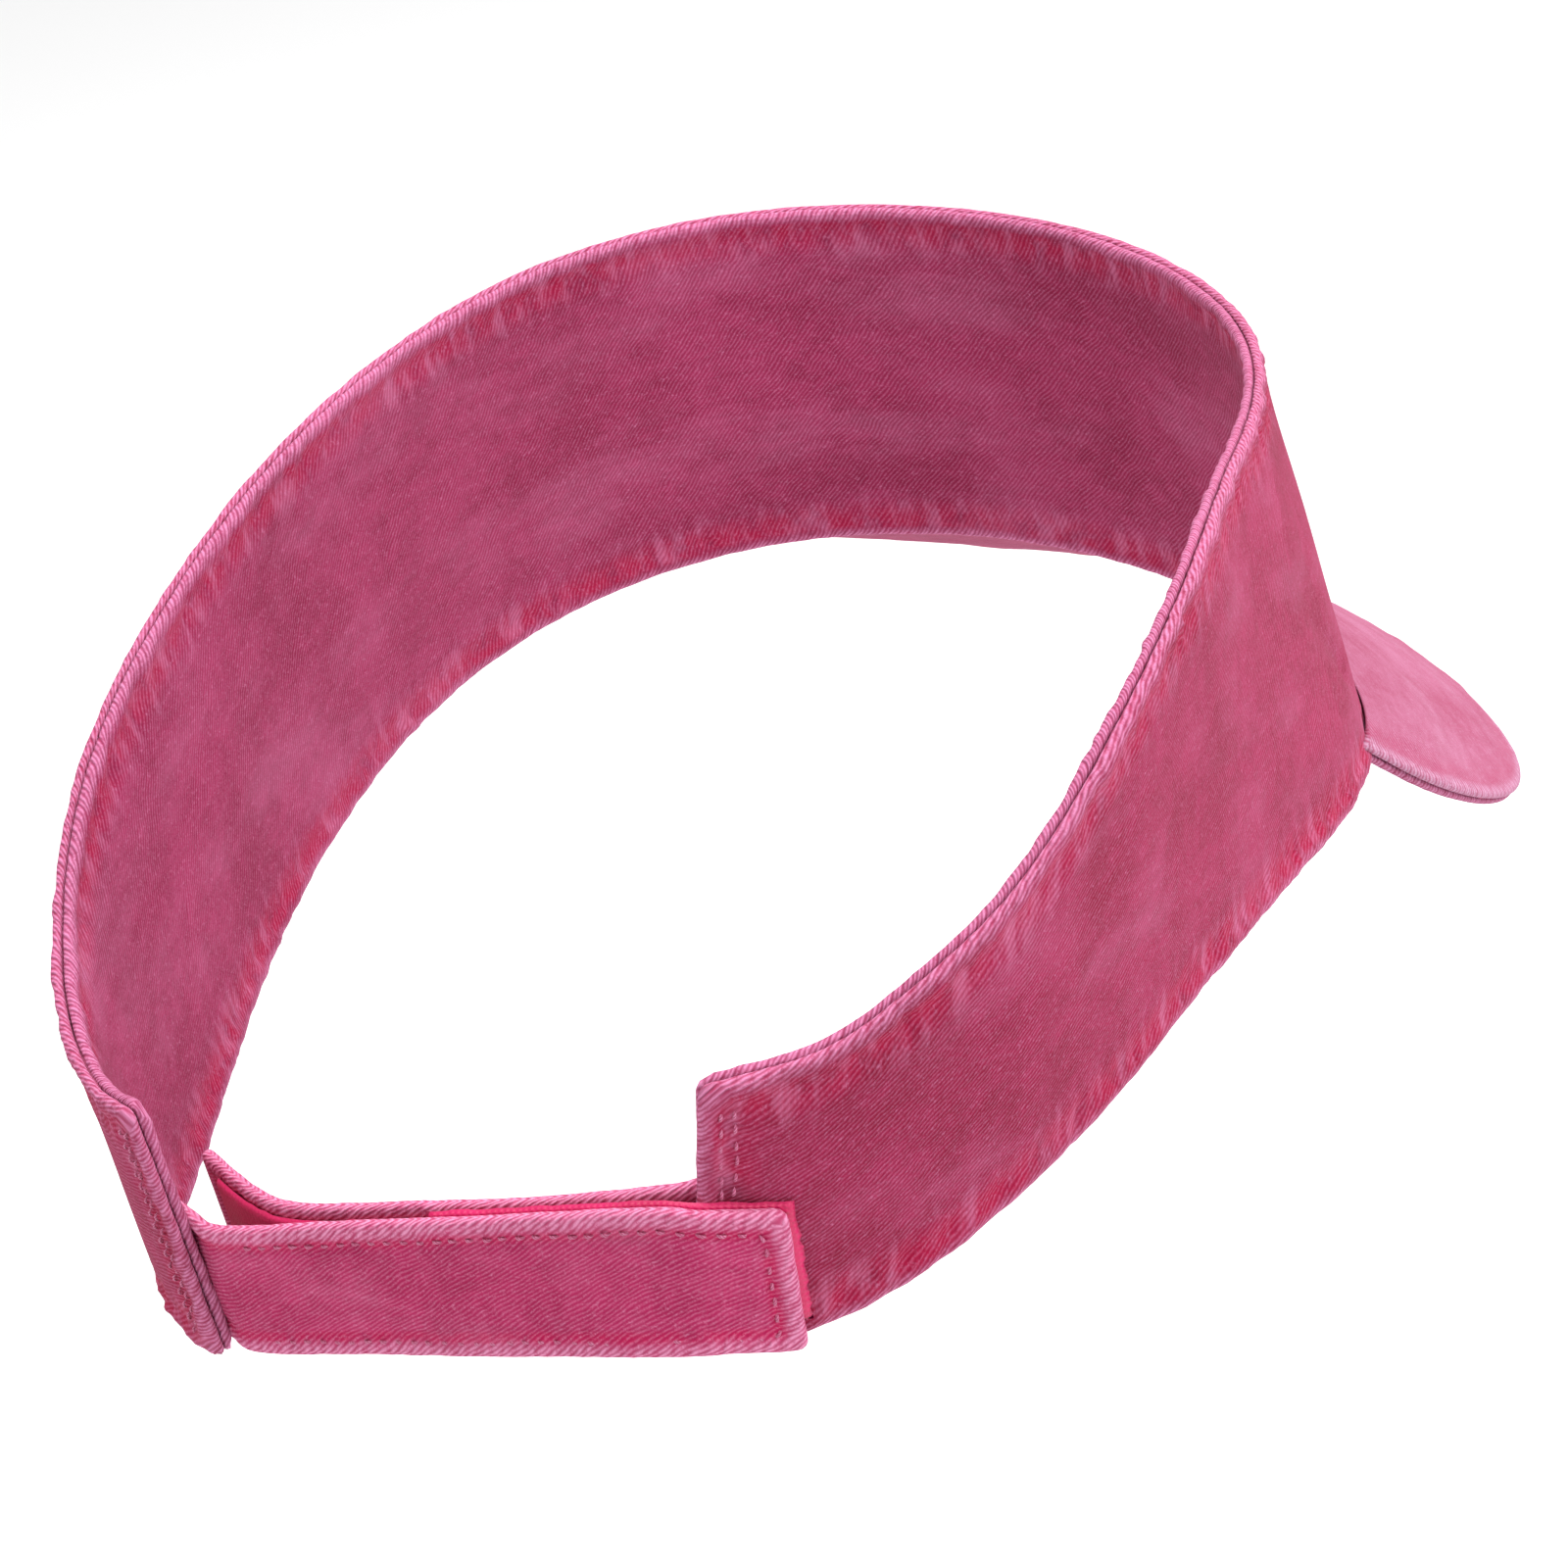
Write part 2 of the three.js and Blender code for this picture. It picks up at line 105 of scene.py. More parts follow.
def band_point(angle, rise, out):
    """A point of the band: rise is its share of the height, out is mm out of the middle surface."""
    angle, rise, out = np.broadcast_arrays(np.asarray(angle, float), rise, out)
    along = along_band(angle)
    level_out = np.stack([along[..., 1], -along[..., 0], np.zeros_like(angle)], -1)
    flare = humps(FLARES, angle)
    lean = wave(TOP_LEAN, angle) + flare
    bottom = loop_point(angle)
    bottom[..., 2] = wave(BOTTOM_LEVEL, angle) + humps([RIGHT_END_LIFT], angle)
    bottom = bottom + level_out * (wave(TOP_LEAN, angle) / 2 + flare)[..., None]
    side = level_out * -lean[..., None]
    side[..., 2] = np.sqrt(band_height(angle) ** 2 - lean**2)
    outwards = unit(np.cross(along, side))
    return bottom + side * rise[..., None] + outwards * out[..., None]


def band_angle(share, rise):
    right = np.radians(RIGHT_END + RIGHT_END_SLANT * (1 - rise))
    return right + (math.radians(-LEFT_END) - right) * share


def polyline_length(points):
    return float(np.linalg.norm(np.diff(points, axis=0), axis=1).sum())


BAND_LENGTH = polyline_length(band_point(band_angle(np.linspace(0, 1, 201), 0.5), 0.5, 0.0))


def on_band(s, t, out):
    """A point s mm along the band from its right end and t mm above its bottom edge."""
    angle = band_angle(s / BAND_LENGTH, 0.5)
    rise = t / band_height(angle)
    return band_point(band_angle(s / BAND_LENGTH, rise), rise, out)


# ---- Smooth noise, the same on every run ----


def noise_1d(x, seed):
    values = np.random.default_rng(seed).uniform(-1, 1, 1024)
    i = np.floor(x).astype(int)
    f = x - i
    f = f * f * (3 - 2 * f)
    return values[i % 1024] * (1 - f) + values[(i + 1) % 1024] * f


def noise_2d(x, y, seed):
    values = np.random.default_rng(seed).uniform(-1, 1, (128, 128))
    i, j = np.floor(x).astype(int), np.floor(y).astype(int)
    f, g = x - i, y - j
    f, g = f * f * (3 - 2 * f), g * g * (3 - 2 * g)
    low = values[i % 128, j % 128] * (1 - f) + values[(i + 1) % 128, j % 128] * f
    high = values[i % 128, (j + 1) % 128] * (1 - f) + values[(i + 1) % 128, (j + 1) % 128] * f
    return low * (1 - g) + high * g


# ---- Cloth pieces ----

# A turned-in edge: how far each point of the flat cloth lies from the edge, where it ends up in from
# the edge, and how far out of the middle surface it stands
EDGE_STEPS = np.array([0, 0.45, 0.8, 1.1, 1.4, 1.7, 2.1, 2.6, 3.2, 3.8, 4.4, 5.0, 5.7, 6.5, 7.5])
PLY_IN = np.array([1.0, 0.62, 0.28, 0.06, 0.0, 0.1, 0.4, 0.9, 1.6, 2.35, 3.1, 3.95, 4.95, 6.2, 7.5])
PLY_OUT = np.array([0.1, 0.1, 0.22, 0.48, 0.8, 1.15, 1.45, 1.62, 1.66, 1.5, 1.2, 1.08, 1.14, 1.25, 1.3])
PLY_BACK_IN = np.array([1.0, 1.3, 1.55, 1.75, 1.9, 2.1, 2.4, 2.8, 3.3, 3.9, 4.5, 5.1, 5.8, 6.6, 7.5])
PLY_BACK = np.array([0.1, 0.13, 0.17, 0.2, 0.23, 0.27, 0.3, 0.35, 0.4, 0.44, 0.46, 0.48, 0.5, 0.5, 0.5])


def dense_ends(length, pitch, edge=EDGE_STEPS):
    """Stations along a side: close together near both ends, then even."""
    count = max(int(round((length - 2 * edge[-1]) / pitch)), 1)
    middle = np.linspace(edge[-1], length - edge[-1], count + 1)
    return np.concatenate([edge[:-1], middle, length - edge[:-1][::-1]])


def rounded_edge(s, t, length, height, radius):
    """Distance to the edge of a rounded rectangle, and the direction in from that edge."""
    from_s, from_t = np.minimum(s, length - s), np.minimum(t, height - t)
    over_s, over_t = np.maximum(radius - from_s, 0), np.maximum(radius - from_t, 0)
    corner = (over_s > 0) & (over_t > 0)
    distance = np.where(corner, radius - np.hypot(over_s, over_t), np.minimum(from_s, from_t))
    in_s = np.where(corner, over_s, from_s <= from_t) * np.where(s < length / 2, 1, -1)
    in_t = np.where(corner, over_t, from_t < from_s) * np.where(t < height / 2, 1, -1)
    size = np.maximum(np.hypot(in_s, in_t), 1e-9)
    return np.maximum(distance, 0), in_s / size, in_t / size


def rounded_grid(columns, rows, length, height, radius):
    """A grid over a rounded rectangle. rows are mm from the bottom edge of a side `height` tall."""
    s = np.repeat(columns[:, None], rows.shape[-1], 1)
    from_end = np.minimum(s, length - s)
    cut = radius - np.sqrt(np.maximum(radius**2 - np.maximum(radius - from_end, 0) ** 2, 0))
    t = cut + rows * (height - 2 * cut) / height
    return s, t


def make_mesh(name, points, faces, uv, attributes):
    mesh = bpy.data.meshes.new(name)
    mesh.from_pydata((points * MM).tolist(), [], faces)
    layer = mesh.uv_layers.new(name="cloth")
    corner_vertex = np.empty(len(mesh.loops), np.int32)
    mesh.loops.foreach_get("vertex_index", corner_vertex)
    layer.data.foreach_set("uv", uv[corner_vertex].astype(np.float32).ravel())
    for key, values in attributes.items():
        mesh.attributes.new(key, "FLOAT", "POINT").data.foreach_set("value", values.astype(np.float32))
    mesh.polygons.foreach_set("use_smooth", np.ones(len(mesh.polygons), bool))
    mesh.update()
    piece = bpy.data.objects.new(name, mesh)
    bpy.context.scene.collection.objects.link(piece)
    return piece


def two_sided(name, front, back, uv, attributes, flip=False):
    """A closed piece of cloth from two grids of points that share their outer ring."""
    n, m = front.shape[:2]
    index = np.arange(n * m).reshape(n, m)
    back_index = index.copy()
    inner = (slice(1, -1), slice(1, -1))
    back_index[inner] = n * m + np.arange((n - 2) * (m - 2)).reshape(n - 2, m - 2)

    def quads(i):
        return np.stack([i[:-1, :-1], i[1:, :-1], i[1:, 1:], i[:-1, 1:]], -1).reshape(-1, 4)

    first, second = quads(index), quads(back_index)[:, ::-1]
    faces = np.concatenate([first[:, ::-1], second[:, ::-1]] if flip else [first, second])

    def both(a):
        return np.concatenate([a.reshape(n * m, -1), a[inner].reshape((n - 2) * (m - 2), -1)])

    points = np.concatenate([front.reshape(-1, 3), back[inner].reshape(-1, 3)])
    values = {key: both(value)[:, 0] for key, value in attributes.items()}
    values["inside"] = np.concatenate([np.zeros(n * m), np.ones((n - 2) * (m - 2))])
    return make_mesh(name, points, faces.tolist(), both(uv), values)


# ---- Headband ----

PUCKER_AT, PUCKER_SPREAD = 4.2, 2.4
SWELL = 0.55  # slow waves of the washed cloth
CREASE_S, CREASE_T, CREASE_DEPTH, CREASE_SLANT = 178, 14, 0.9, 0.75
CREASE_WIDTH, CREASE_LENGTH = 3.2, 13
BRIM_SEAM_TOP, BRIM_SEAM_FADE = 7, 8  # the crease starts above the brim's seam
BAND_PITCH, BAND_ROWS = 0.95, 46
RUN_SLANT = 0.75  # gathers lean along the band by this share of the height


def puckers(run, distance, seed, size=0.34):
    """Short gathers across an edge seam, which fade into the cloth."""
    short = noise_1d(run / 2.3, seed) + 0.6 * noise_1d(run / 1.3, seed + 1)
    long = noise_1d(run / 6.5, seed + 2)
    near = np.exp(-(((distance - PUCKER_AT) / PUCKER_SPREAD) ** 2))
    fading = np.exp(-np.maximum(distance - PUCKER_AT, 0) / 6.0) * np.clip(distance / 3, 0, 1)
    return size * near * short + 0.35 * size * fading * long


def band_swell(s, t, height):
    """The shared waves of both plies, none at the closure ends where the straps are sewn."""
    middle = np.clip(np.minimum(s, BAND_LENGTH - s) / 40, 0, 1) * np.clip(t / 14, 0, 1)
    middle = middle * np.clip((height - t) / 10, 0.25, 1)
    slow = noise_2d(s / 34 + 3, t / 30 + s / 90, 11) + 0.5 * noise_2d(s / 15 + 9, t / 17 - s / 60, 12)
    return SWELL * slow * middle


def crease(s, t):
    """A soft slanting fold beside the brim's right end."""
    line = (s - CREASE_S) + CREASE_SLANT * (t - CREASE_T)
    across = np.exp(-((line / CREASE_WIDTH) ** 2))
    along = np.exp(-(((t - CREASE_T) / CREASE_LENGTH) ** 2))
    clear_of_brim = np.clip((t - BRIM_SEAM_TOP) / BRIM_SEAM_FADE, 0, 1)
    return -CREASE_DEPTH * across * along * clear_of_brim


def band_ply(name, side, seed):
    """One ply of the band: a cloth with turned-in edges, puckers beside its seams and slow waves."""
    columns = dense_ends(BAND_LENGTH, BAND_PITCH)
    angle = band_angle(columns / BAND_LENGTH, 0.5)
    height = band_height(angle)[:, None]
    share = np.linspace(0, 1, BAND_ROWS)[1:-1]
    low = np.repeat(EDGE_STEPS[None], len(columns), 0)
    middle = EDGE_STEPS[-1] + share * (height - 2 * EDGE_STEPS[-1])
    rows = np.concatenate([low, middle, height - EDGE_STEPS[::-1]], 1)
    s, t = rounded_grid(columns, rows, BAND_LENGTH, height, END_CORNER)
    distance, in_s, in_t = rounded_edge(s, t, BAND_LENGTH, height, END_CORNER)
    run = s + RUN_SLANT * t * np.where(t > height / 2, 1, -1)
    ripple = puckers(run, distance, seed)
    frill = 0.1 * noise_1d(run / 1.7, seed + 5) * np.exp(-distance / 2.5)
    swell = band_swell(s, t, height) + (crease(s, t) if side > 0 else 0)

    def place(inward, out):
        move = np.interp(distance, EDGE_STEPS, inward) - np.minimum(distance, EDGE_STEPS[-1]) + frill
        return on_band(s + in_s * move, t + in_t * move, side * out + swell)

    front = place(PLY_IN, np.interp(distance, EDGE_STEPS, PLY_OUT) + ripple)
    back = place(PLY_BACK_IN, np.interp(distance, EDGE_STEPS, PLY_BACK))
    uv = np.stack([s, t], -1)
    return two_sided(name, front, back, uv, {"edge": distance}, flip=side < 0)


# ---- Brim ----

BRIM_HALF_ANGLE, BRIM_REACH, BRIM_END_REACH, BRIM_SPREAD = 62.7, 63.5, 7.3, 0.48
BRIM_CORNERS, BRIM_FULLNESS, BRIM_CURL = 4.0, 0.51, 0.05
BRIM_SLOPE = {"left": 13.0, "front": 34.0, "right": 45.5}
BRIM_LIFT, BRIM_START_OUT = 2.2, 1.6
BRIM_TUCK = {"top": -3.0, "under": -0.9}  # where each cover starts, inside the band
BRIM_OUTLINE_START = -4  # the sides of the outline start deeper than both covers
BRIM_COLUMNS, BRIM_ROWS, BRIM_PUCKER = 190, 44, 0.16
BRIM_HALF_WIDTH = 88.0  # mm of cloth from the brim's middle to its end, for even spacing
BRIM_OUT = np.array([0.08, 0.1, 0.2, 0.42, 0.72, 1.02, 1.28, 1.45, 1.54, 1.58, 1.62, 1.68, 1.74, 1.82, 1.9])
BRIM_IN = np.array([0.9, 0.58, 0.27, 0.06, 0.0, 0.08, 0.34, 0.8, 1.5, 2.25, 3.05, 3.95, 4.95, 6.2, 7.5])
BRIM_BACK = np.array([0.08, 0.12, 0.2, 0.3, 0.4, 0.5, 0.6, 0.7, 0.8, 0.9, 1.0, 1.05, 1.1, 1.13, 1.15])


def brim_slope(across):
    side = np.where(across > 0, BRIM_SLOPE["right"], BRIM_SLOPE["left"])
    share = np.sin(np.pi / 2 * np.abs(across)) ** 2
    return np.radians(BRIM_SLOPE["front"] + (side - BRIM_SLOPE["front"]) * share)


def brim_length(across):
    taper = (1 - np.minimum(np.abs(across), 1) ** BRIM_CORNERS) ** BRIM_FULLNESS
    return BRIM_END_REACH + (BRIM_REACH - BRIM_END_REACH) * taper


def brim_surface(across, forward):
    """The brim's middle surface, forward mm from where it leaves the band."""
    angle = np.radians(BRIM_HALF_ANGLE) * across
    start = band_point(angle, BRIM_LIFT / band_height(angle), BRIM_START_OUT)
    along = along_band(angle)
    square = np.stack([along[..., 1], -along[..., 0], np.zeros_like(angle)], -1)
    ahead = unit(np.array([0.0, -1.0, 0.0]) * (1 - BRIM_SPREAD) + square * BRIM_SPREAD)
    slope = brim_slope(across)
    curl = 1 - BRIM_CURL + BRIM_CURL * forward / brim_length(across)
    point = start + ahead * (np.cos(slope) * forward)[..., None]
    point[..., 2] -= np.sin(slope) * forward * curl
    return point


def brim_normal(across, forward):
    step = 0.005
    left = brim_surface(np.maximum(across - step, -1), forward)
    right = brim_surface(np.minimum(across + step, 1), forward)
    ahead = brim_surface(across, forward + 0.3) - brim_surface(across, forward - 0.3)
    return unit(np.cross(right - left, ahead))


def brim_outline():
    """The brim's free outline, from one end along its side, its rim and its other side."""
    across = np.sin(np.linspace(-1, 1, 900) * np.pi / 2)
    rim = [across, brim_length(across)]
    first = np.linspace(BRIM_OUTLINE_START, BRIM_END_REACH, 60)[:-1]
    last = np.linspace(BRIM_END_REACH, BRIM_OUTLINE_START, 60)[1:]
    side_a = [np.full_like(first, -1.0), first]
    side_b = [np.full_like(last, 1.0), last]
    return [np.concatenate([side_a[k], rim[k], side_b[k]]) for k in range(2)]


def brim_edge(points):
    """Each point's distance to the brim's outline, the foot of it, and the way in from it."""
    across, forward = brim_outline()
    outline = brim_surface(across, forward)
    tangent = unit(np.gradient(outline, axis=0))
    inward = unit(np.cross(tangent, brim_normal(across, forward)))
    flat = points.reshape(-1, 3)
    foot = np.empty(len(flat), int)
    for k in range(0, len(flat), 2000):
        chunk = flat[k : k + 2000]
        foot[k : k + 2000] = ((chunk[:, None] - outline[None]) ** 2).sum(-1).argmin(1)
    away = flat - outline[foot]
    square = inward[foot] * np.sign(np.median((away * inward[foot]).sum(1)))
    distance = np.linalg.norm(away, axis=1)
    trust = np.clip(distance, 0, 1)[:, None]
    inside = unit(unit(away) * trust + square * (1 - trust)).reshape(points.shape)
    return distance.reshape(points.shape[:-1]), outline[foot].reshape(points.shape), inside


def brim_cover(name, side, seed):
    """One cloth of the brim, with its edge turned in over the board."""
    ends = EDGE_STEPS / BRIM_HALF_WIDTH
    across = np.concatenate([-1 + ends[:-1], np.linspace(-1 + ends[-1], 1 - ends[-1], BRIM_COLUMNS)])
    across = np.concatenate([across, (1 - ends[:-1])[::-1]])[::-1]
    length = brim_length(across)[:, None]
    tuck = BRIM_TUCK["top" if side > 0 else "under"]
    inner = tuck + np.linspace(0, 1, BRIM_ROWS)[:-1] * (length - EDGE_STEPS[-1] - tuck)
    forward = np.concatenate([inner, length - EDGE_STEPS[::-1]], 1)
    across = np.repeat(across[:, None], forward.shape[1], 1)
    middle, up = brim_surface(across, forward), brim_normal(across, forward)
    distance, foot, inward = brim_edge(middle)
    near = distance < EDGE_STEPS[-1]
    run = across * BRIM_HALF_WIDTH
    ripple = puckers(run + 0.6 * forward, distance, seed, BRIM_PUCKER)
    ripple = ripple + 0.3 * noise_2d(run / 17, forward / 15, seed + 7) * np.clip(distance / 12, 0, 1)

    def place(inward_profile, out):
        flat = foot + inward * np.interp(distance, EDGE_STEPS, inward_profile)[..., None]
        spot = np.where(near[..., None], flat, middle)
        return spot + up * (side * out)[..., None]

    front = place(BRIM_IN, np.interp(distance, EDGE_STEPS, BRIM_OUT) + ripple)
    back = place(PLY_BACK_IN, np.interp(distance, EDGE_STEPS, BRIM_BACK))
    uv = np.stack([run, forward], -1)
    return two_sided(name, front, back, uv, {"edge": distance}, flip=side < 0)


# ---- Closure straps ----

STRAP_WIDTH, STRAP_INSET = 22.0, {"left": 1.5, "right": 2.5}
ROOT_OUT, HINGE_OUT, ROOT_LENGTH = -2.2, 3.0, 13.0
HOOK_OVER_OUT, HOOK_OVERLAP, HOOK_DROP = 3.2, (13.0, 10.0), 3.2
HOOK_BULGE, HOOK_BULGE_AT = 0.5, (0.3, 0.65)
LOOP_PAST_END, LOOP_WEDGE_END = 12.0, 15.5
LOOP_WEDGE = ((0.045, 7.0), (0.16, 4.2), (0.45, 3.9), (0.72, 3.9))
STRAP_CORNER, STRAP_PITCH, STRAP_FULLNESS = 1.6, 0.75, 0.92
ROOT_TIP = 0.5  # the cloth ends this far short of the sewn root's depth
BLEND_IN_ROOT, BLEND_IN_STRAP = 3.0, 4.0  # mm from the hinge line, into the root and into the strap, where a point of each strap is taken
HOOK_TAPE = {"length": 50.0, "past_end": 1.2, "low": 3.4, "high": 22.3, "thickness": 0.7}
LOOP_TAPE = {"start": 6.0, "end": 68.0, "low": 1.5, "high": 20.5, "thickness": 0.8}
TAPE_LEVEL, TAPE_RAGGED = 1.25, 0.25
STRAP_STEPS = np.array([0, 0.35, 0.7, 1.1, 1.6, 2.2, 2.8, 3.3, 3.8, 4.4, 5.2, 6.2])
STRAP_IN = np.array([0, 0.05, 0.2, 0.55, 1.1, 1.9, 2.65, 3.25, 3.8, 4.4, 5.2, 6.2])
STRAP_OUT = np.array([0, 0.38, 0.66, 0.86, 0.94, 0.9, 0.7, 0.5, 0.48, 0.6, 0.68, 0.66])


def curve_through(points, count=240):
    """A smooth curve through points, at even spacing, with its length."""
    points = np.array(points)
    knots = np.concatenate([[0], np.cumsum(np.linalg.norm(np.diff(points, axis=0), axis=1) ** 0.5)])
    slope = np.gradient(points, knots, axis=0)
    dense = []
    for k in range(len(points) - 1):
        span = knots[k + 1] - knots[k]
        u = np.linspace(0, 1, 60, endpoint=k == len(points) - 2)[:, None]
        hermite = (2 * u**3 - 3 * u**2 + 1) * points[k] + (u**3 - 2 * u**2 + u) * span * slope[k]
        hermite = hermite + (3 * u**2 - 2 * u**3) * points[k + 1] + (u**3 - u**2) * span * slope[k + 1]
        dense.append(hermite)
    dense = np.concatenate(dense)
    run = np.concatenate([[0], np.cumsum(np.linalg.norm(np.diff(dense, axis=0), axis=1))])
    even = np.linspace(0, run[-1], count)
    return np.stack([np.interp(even, run, dense[:, k]) for k in range(3)], -1), run[-1]


def strap_rise(angle, up):
    inset = np.where(angle > 0, STRAP_INSET["right"], STRAP_INSET["left"])
    return (inset + up) / band_height(angle)


def end_angle(at_right, up):
    if not at_right:
        return math.radians(-LEFT_END)
    rise = up / band_height(np.radians(RIGHT_END))
    return np.radians(RIGHT_END + RIGHT_END_SLANT * (1 - rise))


def hinge_point(at_right, up):
    angle = np.array(end_angle(at_right, up))
    along = along_band(angle) * (-HINGE_OUT if at_right else HINGE_OUT)
    return band_point(angle, strap_rise(angle, up), ROOT_OUT) + along


def root_points(at_right, up):
    """The sewn root's points inside the band's end, deepest first."""
    depth = np.array([ROOT_LENGTH, ROOT_LENGTH / 2, 0.5]) / BAND_LENGTH
    share = depth if at_right else 1 - depth
    angle = band_angle(share, up / band_height(np.radians(RIGHT_END if at_right else LEFT_END)))
    return list(band_point(angle, strap_rise(angle, up), ROOT_OUT))


class Strap:
    """A strap between a lower and an upper edge curve that run from the wearer's left to their right."""

    def __init__(self, lower, upper, offset):
        (self.lower, self.length), (self.upper, _) = curve_through(lower), curve_through(upper)
        self.offset = offset  # mm of the strap before the zero of its distances

    def sample(self, curve, run):
        at = np.linspace(0, self.length, len(curve))
        return np.stack([np.interp(run, at, curve[:, k]) for k in range(3)], -1)

    def place(self, distance, up, out):
        run = np.asarray(distance, float) + self.offset
        held = np.clip(run, 0, self.length)
        bottom, top = self.sample(self.lower, held), self.sample(self.upper, held)
        step = 0.6
        low, high = np.clip(held - step, 0, self.length), np.clip(held + step, 0, self.length)
        along = unit(self.sample(self.lower, high) - self.sample(self.lower, low))
        side = unit(top - bottom)
        outwards = unit(np.cross(along, side))
        up, out = np.asarray(up, float)[..., None], np.asarray(out, float)[..., None]
        return bottom + side * up + outwards * out + along * (run - held)[..., None]


def hook_strap_curves():
    edges = []
    for up, overlap in zip((0.0, STRAP_WIDTH), HOOK_OVERLAP):
        part = np.linspace(0, 1, 4)
        angle = band_angle(part * overlap / BAND_LENGTH, up / band_height(np.radians(RIGHT_END)))
        over = band_point(angle, strap_rise(angle, up - HOOK_DROP * part), HOOK_OVER_OUT)
        start = hinge_point(False, up)
        span = over[0] - start
        away = unit(np.array([span[1], -span[0], 0]))
        middle = [start + span * part + away * HOOK_BULGE for part in HOOK_BULGE_AT]
        edges.append([start, *middle, *over])
    return edges


def build_straps():
    plain = hook_strap_curves()
    free = Strap(*plain, 0.0)
    rooted = [root_points(False, up) + edge for up, edge in zip((0.0, STRAP_WIDTH), plain)]
    root_run = curve_through(rooted[0])[1] - free.length
    hook = Strap(*rooted, root_run)
    edges = []
    for up in (0.0, STRAP_WIDTH):
        hinge = hinge_point(True, up)
        reach = np.linalg.norm(hinge - free.place(0.0, up, 0.0))
        free_end = free.place(-LOOP_PAST_END, up, -LOOP_WEDGE_END)
        follow = [free.place(part * reach, up, -apart) for part, apart in LOOP_WEDGE]
        edges.append([free_end, *follow, hinge])
    loop_length = curve_through(edges[0])[1]
    edges = [edge + root_points(True, up)[::-1] for up, edge in zip((0.0, STRAP_WIDTH), edges)]
    return hook, free.length, Strap(*edges, 0.0), loop_length


def strap_cloth(name, strap, start, end, seed):
    """A folded strap: two faces that meet in rounded, puckered edges, with a sunk stitch line."""
    length = end - start
    columns = dense_ends(length, STRAP_PITCH, STRAP_STEPS)
    rows = dense_ends(STRAP_WIDTH, STRAP_PITCH, STRAP_STEPS)[None]
    s, t = rounded_grid(columns, np.repeat(rows, len(columns), 0), length, STRAP_WIDTH, STRAP_CORNER)
    distance, in_s, in_t = rounded_edge(s, t, length, STRAP_WIDTH, STRAP_CORNER)
    move = np.interp(distance, STRAP_STEPS, STRAP_IN) - np.minimum(distance, STRAP_STEPS[-1])
    run = s + 0.5 * t
    near = np.exp(-(((distance - 2.6) / 1.8) ** 2))
    faces = []
    for side in (1, -1):
        gathers = noise_1d(run / 1.9, seed + side) + 0.5 * noise_1d(run / 1.05, seed + 3 * side)
        out = np.interp(distance, STRAP_STEPS, STRAP_OUT) + 0.13 * near * gathers
        slow = 0.28 * noise_2d(s / 13, t / 9, seed + 20) * np.clip(distance / 4, 0, 1)
        frill = 0.09 * noise_1d(run / 1.5, seed + 9) * np.exp(-distance / 1.5)
        step = move + frill
        level = side * out * STRAP_FULLNESS + slow
        faces.append(strap.place(start + s + in_s * step, t + in_t * step, level))
    uv = np.stack([s, t], -1)
    return two_sided(name, faces[0], faces[1], uv, {"edge": distance}, flip=False)


def tape_cloth(name, strap, start, end, level, tape, seed):
    """A flat tape whose cut ends are a little ragged."""
    low, high, thickness = tape["low"], tape["high"], tape["thickness"]
    columns = np.linspace(start, end, max(int((end - start) / 0.8), 8))
    rows = np.linspace(low, high, 22)
    s, t = np.repeat(columns[:, None], len(rows), 1), np.repeat(rows[None], len(columns), 0)
    out_s = np.where(s <= start + 1e-6, -1, np.where(s >= end - 1e-6, 1, 0))
    out_t = np.where(t <= low + 1e-6, -1, np.where(t >= high - 1e-6, 1, 0))
    shift_s = TAPE_RAGGED * out_s * noise_1d(t / 0.9, seed)
    shift_t = 0.6 * TAPE_RAGGED * out_t * noise_1d(s / 1.6, seed + 1)
    distance = np.minimum(np.minimum(s - start, end - s), np.minimum(t - low, high - t))
    lift = thickness / 2 * np.clip(distance / 0.7 + 0.25, 0, 1) + 0.06 * noise_2d(s / 2, t / 2, seed)
    edge = (out_s != 0) | (out_t != 0)
    lift = np.where(edge, 0, lift)
    front = strap.place(s + shift_s, t + shift_t, level + lift)
    back = strap.place(s + shift_s, t + shift_t, level - lift)
    return two_sided(name, front, back, np.stack([s, t], -1), {"edge": distance})


# ---- Stitches ----

STITCH_STATIONS, STITCH_SIDES = 9, 8
END_STITCH = {"pitch": 2.3, "length": 1.35, "width": 0.42}
STRAP_STITCH = {"pitch": 2.5, "length": 1.4, "width": 0.44}
END_ROWS = (2.9, 4.4)  # from the band's end
END_ROW_MARGIN, END_ROW_OUT, STRAP_ROW_OUT = 2.4, 1.42, 0.56
TOPSTITCH_TURN, TOPSTITCH_START = 1.6, 5.0
HOOK_STITCH = {"end": 3.3, "insets": (3.2, 2.4)}  # insets from the top and the bottom edge
LOOP_STITCH = {"end": 3.4, "insets": (3.4, 2.9)}


